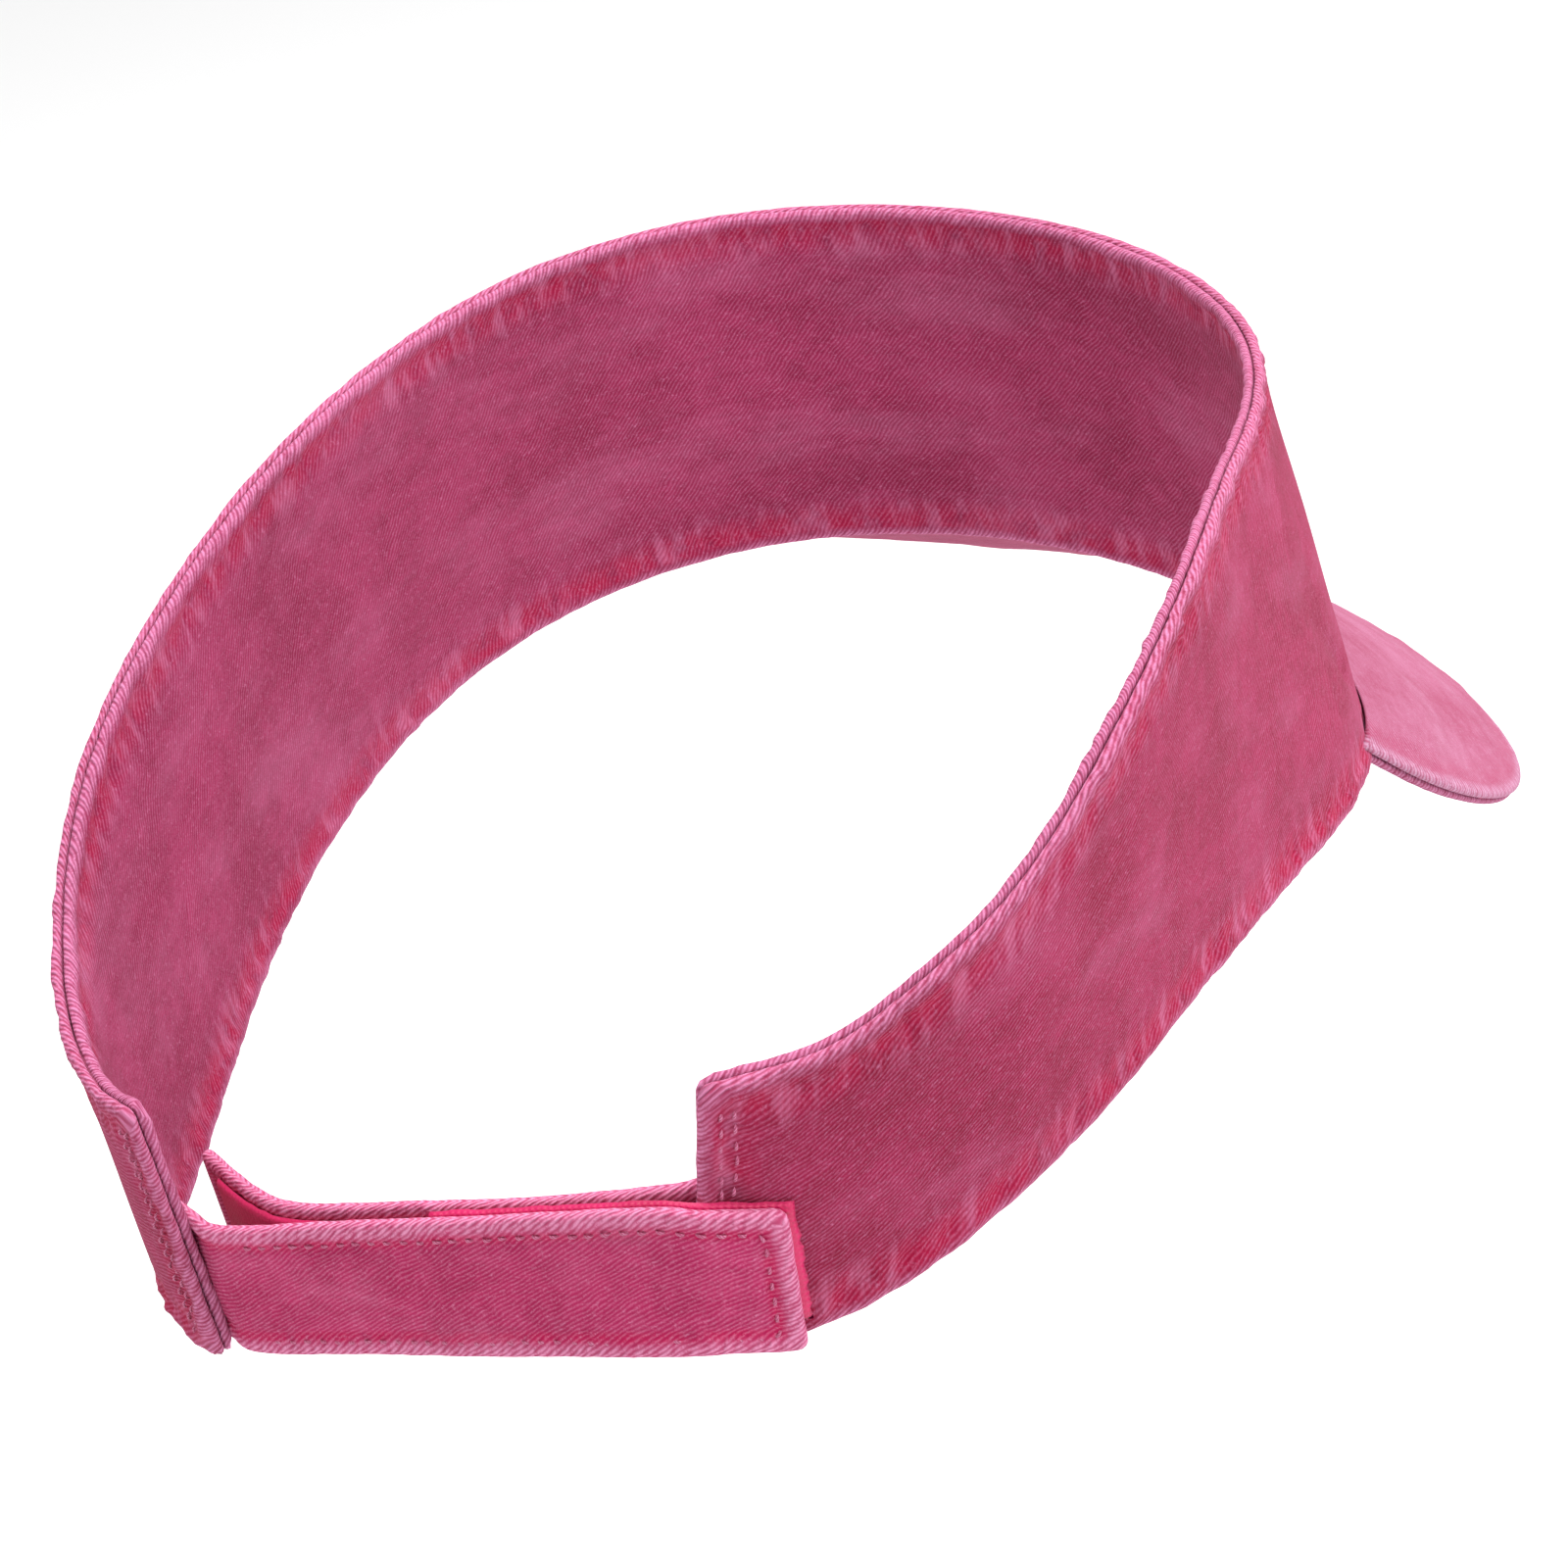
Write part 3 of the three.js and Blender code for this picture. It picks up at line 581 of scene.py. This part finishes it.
def one_stitch(points, normals, run, at, width, skew):
    """The rings of one plump stitch that dips into the cloth at both ends."""
    u = np.linspace(-1, 1, STITCH_STATIONS)
    centre = np.stack([np.interp(at, run, points[:, k]) for k in range(3)], -1)
    normal = unit(np.stack([np.interp(at, run, normals[:, k]) for k in range(3)], -1))
    across = unit(np.cross(unit(np.gradient(centre, axis=0)), normal))
    dip = width * (0.34 - 1.15 * np.abs(u) ** 3)
    centre = centre + normal * dip[:, None] + across * (skew + 0.07 * u)[:, None]
    radius = width / 2 * np.sqrt(np.clip(1 - np.abs(u) ** 3.2, 0.02, 1))
    turn = np.linspace(0, 2 * np.pi, STITCH_SIDES, endpoint=False)[None, :, None]
    ring = across[:, None] * np.cos(turn) + normal[:, None] * np.sin(turn) * 0.8
    return (centre[:, None] + ring * radius[:, None, None]).reshape(-1, 3)


def stitch_faces():
    """The faces of one stitch: rings of quads and two end caps."""
    rings = [
        (i + k, i + (k + 1) % STITCH_SIDES, i + (k + 1) % STITCH_SIDES + STITCH_SIDES, i + k + STITCH_SIDES)
        for i in range(0, (STITCH_STATIONS - 1) * STITCH_SIDES, STITCH_SIDES)
        for k in range(STITCH_SIDES)
    ]
    first = tuple(range(STITCH_SIDES))[::-1]
    last = tuple((STITCH_STATIONS - 1) * STITCH_SIDES + k for k in range(STITCH_SIDES))
    return [*rings, first, last]


def stitch_row(name, points, normals, stitch, seed):
    """Single stitches along a route."""
    run = np.concatenate([[0], np.cumsum(np.linalg.norm(np.diff(points, axis=0), axis=1))])
    rng = np.random.default_rng(seed)
    around = np.linspace(0, 2 * np.pi, STITCH_SIDES, endpoint=False) * stitch["width"] / 2
    vertices, faces, uv = [], [], []
    for begin in np.arange(0.4, run[-1] - stitch["length"], stitch["pitch"]):
        span = stitch["length"] * rng.uniform(0.88, 1.12)
        at = begin + rng.uniform(-0.12, 0.12) + np.linspace(0, 1, STITCH_STATIONS) * span
        base = len(vertices) * STITCH_STATIONS * STITCH_SIDES
        vertices.append(one_stitch(points, normals, run, at, stitch["width"], rng.uniform(-0.1, 0.1)))
        faces += [tuple(base + k for k in face) for face in stitch_faces()]
        uv.append(np.stack([np.repeat(at, STITCH_SIDES), np.tile(around, STITCH_STATIONS)], -1))
    return make_mesh(name, np.concatenate(vertices), faces, np.concatenate(uv), {})


def joined(name, pieces):
    """Several pieces as one."""
    target = pieces[0]
    with bpy.context.temp_override(active_object=target, selected_editable_objects=pieces):
        bpy.ops.object.join()
    target.name = target.data.name = name
    return target


def band_stitches(name, s, side_out, seed):
    """A stitch row up through one end of the band, seen on both of its faces."""
    rows = []
    for side, out in ((1, side_out), (-1, -side_out)):
        height = float(band_height(band_angle(s / BAND_LENGTH, 0.5)))
        t = np.linspace(END_ROW_MARGIN, height - END_ROW_MARGIN, 60)
        wander = s + 0.22 * noise_1d(t / 7, seed)
        points = on_band(wander, t, out)
        normals = unit(on_band(wander, t, out + side) - points)
        rows.append(stitch_row(f"{name}_{side}", points, normals, END_STITCH, seed + side))
    return joined(name, rows)


def strap_stitches(name, strap, start, end, insets, side, seed):
    """The stitch line along the top, round the free end and back along the bottom, on both faces."""
    low, high = insets[1], STRAP_WIDTH - insets[0]
    turn = math.copysign(TOPSTITCH_TURN, end - start)
    runs = np.linspace(start, end - turn, 80)
    arc = np.linspace(0, np.pi / 2, 7)[1:-1]
    upper_end, lower_end = high - TOPSTITCH_TURN, low + TOPSTITCH_TURN
    corner = np.stack([end - turn + turn * np.sin(arc), upper_end + TOPSTITCH_TURN * np.cos(arc)], -1)
    down = np.stack([np.full(12, end), np.linspace(upper_end, lower_end, 12)], -1)
    lower = np.stack([corner[::-1, 0], low + high - corner[::-1, 1]], -1)
    top = np.stack([runs, np.full_like(runs, high)], -1)
    bottom = np.stack([runs[::-1], np.full_like(runs, low)], -1)
    route = np.concatenate([top, corner, down, lower, bottom])
    route[:, 1] += 0.2 * noise_1d(route[:, 0] / 6, seed)
    rows = []
    for face in (side, -side):
        points = strap.place(route[:, 0], route[:, 1], face * STRAP_ROW_OUT)
        normals = unit(strap.place(route[:, 0], route[:, 1], face * (STRAP_ROW_OUT + 1)) - points)
        rows.append(stitch_row(f"{name}_{face}", points, normals, STRAP_STITCH, seed + face))
    return joined(name, rows)


# ---- Materials ----


def srgb(red, green, blue):
    channels = [value / 255 for value in (red, green, blue)]
    linear = [c / 12.92 if c <= 0.04045 else ((c + 0.055) / 1.055) ** 2.4 for c in channels]
    return (*linear, 1.0)


class Surface:
    """A material's node tree, with short ways to add its usual nodes."""

    def __init__(self, name, **settings):
        self.material = bpy.data.materials.new(name)
        self.material.use_nodes = True
        self.tree = self.material.node_tree
        self.shader = self.tree.nodes["Principled BSDF"]
        for key, value in settings.items():
            self.shader.inputs[key.replace("_", " ").title()].default_value = value
        self.cloth = self.add("ShaderNodeUVMap", {}, 0, uv_map="cloth")

    def add(self, kind, inputs, output=0, **settings):
        made = self.tree.nodes.new(kind)
        for key, value in settings.items():
            setattr(made, key, value)
        for key, value in inputs.items():
            if isinstance(value, bpy.types.NodeSocket):
                self.tree.links.new(value, made.inputs[key])
            else:
                made.inputs[key].default_value = value
        return made.outputs[output]

    def math(self, operation, a, b=0.0, c=0.0, clamp=False):
        return self.add("ShaderNodeMath", {0: a, 1: b, 2: c}, operation=operation, use_clamp=clamp)

    def times(self, a, b, clamp=False):
        return self.math("MULTIPLY", a, b, clamp=clamp)

    def plus(self, a, b):
        return self.math("ADD", a, b)

    def noise(self, vector, scale, detail=2.0, roughness=0.5):
        inputs = {"Vector": vector, "Scale": scale, "Detail": detail, "Roughness": roughness}
        return self.add("ShaderNodeTexNoise", inputs)

    def stretched_noise(self, along, across, detail=3.0):
        """Noise with its own scale along and across the cloth."""
        scaled = self.add("ShaderNodeMapping", {0: self.cloth, 3: (along, across, 1)})
        return self.noise(scaled, 1.0, detail, 0.6)

    def mix(self, factor, a, b, blend="MIX"):
        return self.add("ShaderNodeMix", {0: factor, 6: a, 7: b}, 2, data_type="RGBA", blend_type=blend)

    def ramp(self, value, low, high, start=0.0, end=1.0):
        inputs = {0: value, 1: low, 2: high, 3: start, 4: end}
        return self.add("ShaderNodeMapRange", inputs, interpolation_type="SMOOTHSTEP")

    def turned(self, vector, degrees):
        """Two coordinates of a vector in a turned frame."""
        turned = self.add("ShaderNodeMapping", {0: vector, 2: (0, 0, math.radians(degrees))})
        split = self.tree.nodes.new("ShaderNodeSeparateXYZ")
        self.tree.links.new(turned, split.inputs[0])
        return split.outputs[0], split.outputs[1]

    def ridges(self, coordinate, pitch):
        """A wave from 0 to 1 along a coordinate in mm."""
        sine = self.math("SINE", self.times(coordinate, 2 * math.pi / pitch))
        return self.math("MULTIPLY_ADD", sine, 0.5, 0.5)

    def attribute(self, name):
        return self.add("ShaderNodeAttribute", {}, 2, attribute_name=name)

    def finish(self, colour, height, bump, distance, roughness=None):
        self.tree.links.new(colour, self.shader.inputs["Base Color"])
        normal = self.add("ShaderNodeBump", {"Height": height, "Strength": bump, "Distance": distance})
        self.tree.links.new(normal, self.shader.inputs["Normal"])
        if roughness is not None:
            self.tree.links.new(roughness, self.shader.inputs["Roughness"])
        return self.material


RIB_PITCH = 0.6  # mm between the twill's ribs
FLOAT_PITCH = 0.86  # mm between the short floats along a rib
ROPE_PITCH = 1.5  # mm between the slanting ridges of a turned-in edge
ROPE_TURN = 34.0
BAND_BORDER = (2.1, 3.7)  # mm from the edge over which the worn border ends
BAND_GROOVE = (3.0, 3.9, 4.8, 8.2)  # mm from the edge over which the brighter strip comes and goes


def twill_weave(s, rib_turn):
    """The twill's ribs, the floats along them and its yarn."""
    warp = s.times(s.noise(s.cloth, 0.16, 3.0), 1.6)
    across, along = s.turned(s.cloth, rib_turn)
    rib = s.ridges(s.plus(across, warp), RIB_PITCH)
    floats = s.ridges(s.plus(along, s.times(across, 0.8)), FLOAT_PITCH)
    return rib, floats, s.noise(s.cloth, 3.2, 3.0, 0.65)


def dyed_cloth(s, edge, dark, light, bright, groove):
    """Uneven dye, with the brighter strip beside the seams."""
    patches = s.noise(s.cloth, 0.045, 3.0, 0.55)
    blotches = s.noise(s.cloth, 0.32, 3.0, 0.6)
    streaks = s.stretched_noise(0.16, 1.3)
    tone = s.plus(s.plus(s.times(patches, 0.8), s.times(blotches, 0.5)), s.times(streaks, 0.3))
    body = s.mix(s.ramp(tone, 0.58, 1.0), dark, light)
    strip = s.times(s.ramp(edge, groove[0], groove[1]), s.ramp(edge, groove[2], groove[3], 1.0, 0.0))
    strip = s.times(strip, s.ramp(blotches, 0.25, 0.62))
    return s.mix(s.times(strip, 0.9), body, bright)


def rubbed_cloth(s, edge, body, worn, rib, yarn, patchy):
    """Wear inside the border: short patches by the seams, faint clouds, rib tops and pale flecks."""
    beside_edge = s.times(s.ramp(edge, 2.6, 4.2), s.ramp(edge, 4.5, 11.0, 1.0, 0.0))
    patch = s.times(beside_edge, s.ramp(s.stretched_noise(0.34, 0.12), 0.46, 0.68))
    body = s.mix(s.times(patch, 0.42 * patchy), body, worn)
    body = s.mix(s.times(s.ramp(s.stretched_noise(0.03, 0.07, 4.0), 0.46, 0.72), 0.18), body, worn)
    rubbed = s.times(s.ramp(rib, 0.3, 1.0), s.ramp(yarn, 0.3, 0.62))
    body = s.mix(s.times(rubbed, 0.3), body, worn)
    flecks = s.times(s.ramp(s.noise(s.cloth, 1.15, 5.0, 0.7), 0.5, 0.72), s.ramp(yarn, 0.35, 0.6))
    return s.mix(s.times(flecks, 0.5), body, worn), rubbed


def worn_border(s, edge, rubbed, rope, border):
    """How worn the turned-in edge is, and where its border lies. The border's width wanders."""
    wide = s.times(s.noise(s.cloth, 0.11, 3.0, 0.6), 1.6)
    at_edge = s.ramp(s.plus(edge, s.math("SUBTRACT", wide, 0.8)), border[0], border[1], 1.0, 0.0)
    uneven = s.ramp(s.noise(s.cloth, 0.55, 4.0, 0.65), 0.3, 0.55, 0.45, 1.0)
    ribbed = s.math("MULTIPLY_ADD", rubbed, 0.55, s.math("MULTIPLY_ADD", rope, 0.42, 0.26))
    return s.times(s.times(at_edge, ribbed), uneven, clamp=True), at_edge


def twill(name, colours, rib_turn, border=BAND_BORDER, groove=BAND_GROOVE, patchy=1.0):
    """Pigment-dyed cotton twill: slanting ribs, uneven dye, pale worn edges and a brighter strip
    beside them where the puckered seam kept its colour. The colours are dark, light, bright and worn."""
    dark, light, bright, worn = (srgb(*colour) for colour in colours)
    s = Surface(
        name, roughness=0.95, sheen_weight=0.04, sheen_roughness=0.5, sheen_tint=srgb(255, 190, 215)
    )
    s.shader.inputs["Specular IOR Level"].default_value = 0.25
    edge = s.attribute("edge")
    rib, floats, yarn = twill_weave(s, rib_turn)
    rope_across, _ = s.turned(s.cloth, math.copysign(ROPE_TURN, rib_turn))
    rope = s.ridges(s.plus(rope_across, s.times(s.noise(s.cloth, 0.5, 2.0), 1.4)), ROPE_PITCH)
    body = dyed_cloth(s, edge, dark, light, bright, groove)
    body, rubbed = rubbed_cloth(s, edge, body, worn, rib, yarn, patchy)
    faded, at_edge = worn_border(s, edge, rubbed, rope, border)
    colour = s.mix(faded, body, worn)
    colour = s.mix(s.times(s.ramp(rib, 0.0, 0.35, 1.0, 0.0), 0.42), colour, dark)
    height = s.plus(s.times(rib, 0.7), s.times(floats, 0.22))
    height = s.plus(s.plus(height, s.times(yarn, 0.5)), s.times(s.times(rope, at_edge), 1.1))
    return s.finish(colour, height, 0.7, 0.00022)


def thread_material(name, dark, light):
    s = Surface(name, roughness=0.6, sheen_weight=0.1)
    along, around = s.turned(s.cloth, 0)
    twist = s.ridges(s.plus(along, s.times(around, 0.9)), 0.42)
    uneven = s.ramp(s.noise(s.cloth, 0.8), 0.3, 0.7, 0.4, 1.0)
    colour = s.mix(s.times(twist, uneven), dark, light)
    return s.finish(colour, twist, 0.6, 0.00008)


def tape_material(name, dark, light, pile, roughness):
    """Nylon tape: a fine even weave, or with more pile a fuzzy surface."""
    s = Surface(name, roughness=roughness, sheen_weight=0.25 * pile, sheen_tint=srgb(255, 150, 190))
    along, across = s.turned(s.cloth, 0)
    weave = s.times(s.ridges(along, 0.9), s.ridges(across, 0.9))
    fuzz = s.noise(s.cloth, 2.6, 4.0, 0.75)
    patches = s.noise(s.cloth, 0.12, 3.0, 0.6)
    tone = s.plus(s.times(fuzz, 0.6), s.times(patches, 0.5))
    colour = s.mix(s.ramp(tone, 0.35, 0.75), dark, light)
    height = s.plus(s.times(weave, 1.0 - pile), s.times(fuzz, 0.4 + pile))
    return s.finish(colour, height, 0.6, 0.0002)


def board_material():
    s = Surface("brim_board_plastic", roughness=0.45)
    position = s.add("ShaderNodeTexCoord", {}, 3)
    grain = s.noise(position, 900.0, 3.0)
    colour = s.mix(grain, srgb(214, 214, 212), srgb(232, 232, 230))
    return s.finish(colour, grain, 0.2, 0.0001)


def buckram_material():
    s = Surface("buckram_weave", roughness=0.85)
    position = s.add("ShaderNodeTexCoord", {}, 3)
    grain = s.noise(position, 1500.0, 4.0)
    colour = s.mix(grain, srgb(222, 214, 206), srgb(240, 235, 230))
    return s.finish(colour, grain, 0.5, 0.0002)


TWILL = {
    "outer": twill("outer_twill", ((132, 10, 50), (160, 36, 80), (166, 4, 58), (208, 126, 166)), 66),
    "lining": twill(
        "lining_twill_look", ((128, 20, 60), (156, 46, 88), (162, 8, 58), (206, 126, 166)), -40
    ),
    "strap": twill(
        "strap_twill", ((158, 18, 74), (188, 46, 100), (186, 12, 76), (228, 146, 184)), 62,
        border=(1.6, 3.2), groove=(2.2, 3.0, 3.4, 4.6), patchy=0.2,
    ),
    "brim_top": twill(
        "brim_top_twill", ((158, 62, 96), (176, 98, 130), (166, 70, 104), (198, 150, 178)), 40,
        border=(2.6, 4.2), patchy=0.3,
    ),
    "brim_under": twill(
        "brim_under_twill", ((130, 30, 68), (160, 58, 94), (156, 24, 68), (196, 124, 160)), 40
    ),
}
THREAD_LOOK = thread_material("sewing_thread_look", srgb(168, 58, 100), srgb(212, 130, 166))
HOOK_LOOK = tape_material("hook_tape_look", srgb(184, 8, 76), srgb(212, 22, 100), 0.0, 0.5)
LOOP_LOOK = tape_material("loop_tape_look", srgb(176, 6, 70), srgb(206, 22, 94), 0.6, 0.9)


# ---- Put together ----


def dress(piece, look, nodes, body=None):
    piece.data.materials.clear()
    piece.data.materials.append(look)
    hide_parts(*nodes)
    if body:
        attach(piece, body)
    return piece


def grid_area(points):
    """The area of a grid of points, as its triangles' total."""
    a, b, c = points[:-1, :-1], points[1:, :-1], points[:-1, 1:]
    return float(np.linalg.norm(np.cross(b - a, c - a), axis=-1).sum())


def build_band():
    for name, side, seed, look, slot in (
        ("outer_ply", 1, 21, "outer", "band_twill"),
        ("lining", -1, 51, "lining", "lining_twill"),
    ):
        piece = dress(band_ply(f"{name}_cloth", side, seed), TWILL[look], [name], "band")
    for k, from_end in enumerate(END_ROWS, 1):
        for end, s in (("right", from_end), ("left", BAND_LENGTH - from_end)):
            row = band_stitches(f"{end}_end_stitches_{k}", s, END_ROW_OUT, 70 + k)
            dress(row, THREAD_LOOK, [f"{end}_end_stitch_{k}"], "band")


def build_brim():
    across, share = np.meshgrid(np.linspace(1, -1, 200), np.linspace(0, 1, 60), indexing="ij")
    area = grid_area(brim_surface(across, share * brim_length(across))) * MM**2
    for name, side, seed, look, slot in (
        ("brim_top_cover", 1, 81, "brim_top", "brim_twill"),
        ("brim_under_cover", -1, 91, "brim_under", "band_twill"),
    ):
        piece = dress(brim_cover(f"{name}_cloth", side, seed), TWILL[look], [name], "band")


def build_closure():
    hook, hook_length, loop, loop_length = build_straps()
    middle = STRAP_WIDTH / 2
    hook_start = -ROOT_LENGTH - HINGE_OUT + ROOT_TIP
    hook_cloth = strap_cloth("hook_strap_cloth", hook, hook_start, hook_length, 111)
    dress(hook_cloth, TWILL["strap"], ["hook_strap", "hook_strap_root"])
    near = hook.place(-BLEND_IN_ROOT, middle, 0.0) * MM
    far = hook.place(BLEND_IN_STRAP, middle, 0.0) * MM
    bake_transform(hook_cloth)
    loop_end = loop_length + HINGE_OUT + ROOT_LENGTH - ROOT_TIP
    loop_cloth = strap_cloth("loop_strap_cloth", loop, 0.0, loop_end, 131)
    dress(loop_cloth, TWILL["strap"], ["loop_strap", "loop_strap_root"])
    near = loop.place(loop_length + BLEND_IN_ROOT, middle, 0.0) * MM
    far = loop.place(loop_length - BLEND_IN_STRAP, middle, 0.0) * MM
    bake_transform(loop_cloth)
    build_tapes(hook, hook_length, loop)
    build_strap_stitches(hook, hook_length, loop, loop_length)


def build_tapes(hook, hook_length, loop):
    start, end = hook_length - HOOK_TAPE["length"], hook_length + HOOK_TAPE["past_end"]
    tape = tape_cloth("hook_tape_nylon", hook, start, end, -TAPE_LEVEL, HOOK_TAPE, 151)
    dress(tape, HOOK_LOOK, ["hook_tape"], "hook_strap_body")
    start, end = LOOP_TAPE["start"], LOOP_TAPE["end"]
    tape = tape_cloth("loop_tape_pile", loop, start, end, TAPE_LEVEL, LOOP_TAPE, 161)
    dress(tape, LOOP_LOOK, ["loop_tape"], "loop_strap_body")


def build_strap_stitches(hook, hook_length, loop, loop_length):
    end, insets = hook_length - HOOK_STITCH["end"], HOOK_STITCH["insets"]
    row = strap_stitches("hook_strap_stitches", hook, TOPSTITCH_START, end, insets, 1, 171)
    dress(row, THREAD_LOOK, ["hook_strap_topstitch"], "hook_strap_body")
    start, insets = loop_length - TOPSTITCH_START, LOOP_STITCH["insets"]
    row = strap_stitches("loop_strap_stitches", loop, start, LOOP_STITCH["end"], insets, -1, 181)
    dress(row, THREAD_LOOK, ["loop_strap_topstitch"], "loop_strap_body")


def dress_hidden_nodes():
    looks = {"brim_board": board_material(), "front_stiffener": buckram_material()}
    for name in ("top_seam_thread", "bottom_seam_thread", "brim_edge_thread", "brim_joining_thread"):
        looks[name] = thread_material(f"{name}_look", srgb(190, 60, 106), srgb(226, 130, 168))
    for name, look in looks.items():
        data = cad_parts[name].data
        data.materials.clear()
        data.materials.append(look)


# ---- Floor, light and camera ----


def area_light(name, location, target, size, energy):
    light = bpy.data.lights.new(name, "AREA")
    light.size, light.energy = size, energy
    lamp = bpy.data.objects.new(name, light)
    lamp.location = location
    lamp.rotation_euler = (Vector(target) - Vector(location)).to_track_quat("-Z", "Y").to_euler()
    bpy.context.scene.collection.objects.link(lamp)


def build_stage():
    half, level = 6.0, -0.3
    mesh = bpy.data.meshes.new("floor")
    corners = [(-half, -half, level), (half, -half, level), (half, half, level), (-half, half, level)]
    mesh.from_pydata(corners, [], [(0, 1, 2, 3)])
    floor = bpy.data.objects.new("floor", mesh)
    bpy.context.scene.collection.objects.link(floor)
    paper = bpy.data.materials.new("floor_paper")
    paper.use_nodes = True
    paper.node_tree.nodes["Principled BSDF"].inputs["Base Color"].default_value = (0.94, 0.94, 0.94, 1)
    paper.node_tree.nodes["Principled BSDF"].inputs["Roughness"].default_value = 0.9
    mesh.materials.append(paper)
    bpy.context.scene.view_settings.view_transform = "Standard"
    world = bpy.data.worlds.new("studio")
    world.use_nodes = True
    world.node_tree.nodes["Background"].inputs["Color"].default_value = (1, 1, 1, 1)
    world.node_tree.nodes["Background"].inputs["Strength"].default_value = 0.86
    bpy.context.scene.world = world
    area_light("top_softbox", (0.1, -0.1, 1.0), (0, 0, 0), size=0.8, energy=11.0)
    area_light("right_softbox", (-0.95, -0.2, 0.75), (0, 0, 0.02), size=0.7, energy=9.0)


CAMERA_YAW, CAMERA_ELEVATION, CAMERA_ROLL = 26.2, 32.6, -11.1
CAMERA_DISTANCE, CAMERA_TARGET, CAMERA_LENS = 0.427, (-0.0007, 0.0019, 0.016), 66.04


def build_camera():
    yaw, elevation, roll = (math.radians(a) for a in (CAMERA_YAW, CAMERA_ELEVATION, CAMERA_ROLL))
    level = math.cos(elevation)
    back = Vector((-math.sin(yaw) * level, math.cos(yaw) * level, math.sin(elevation)))
    right = (-back).cross(Vector((0, 0, 1))).normalized()
    up = right.cross(-back)
    turned_right = right * math.cos(roll) + up * math.sin(roll)
    turned_up = up * math.cos(roll) - right * math.sin(roll)
    data = bpy.data.cameras.new("camera")
    data.sensor_width, data.lens = 36.0, CAMERA_LENS
    data.clip_start, data.clip_end = 0.01, 50.0
    camera = bpy.data.objects.new("camera", data)
    place = Matrix((turned_right, turned_up, back)).transposed().to_4x4()
    place.translation = Vector(CAMERA_TARGET) + back * CAMERA_DISTANCE
    camera.matrix_world = place
    bpy.context.scene.collection.objects.link(camera)
    bpy.context.scene.camera = camera


build_camera()
build_stage()
build_band()
build_brim()
build_closure()
dress_hidden_nodes()
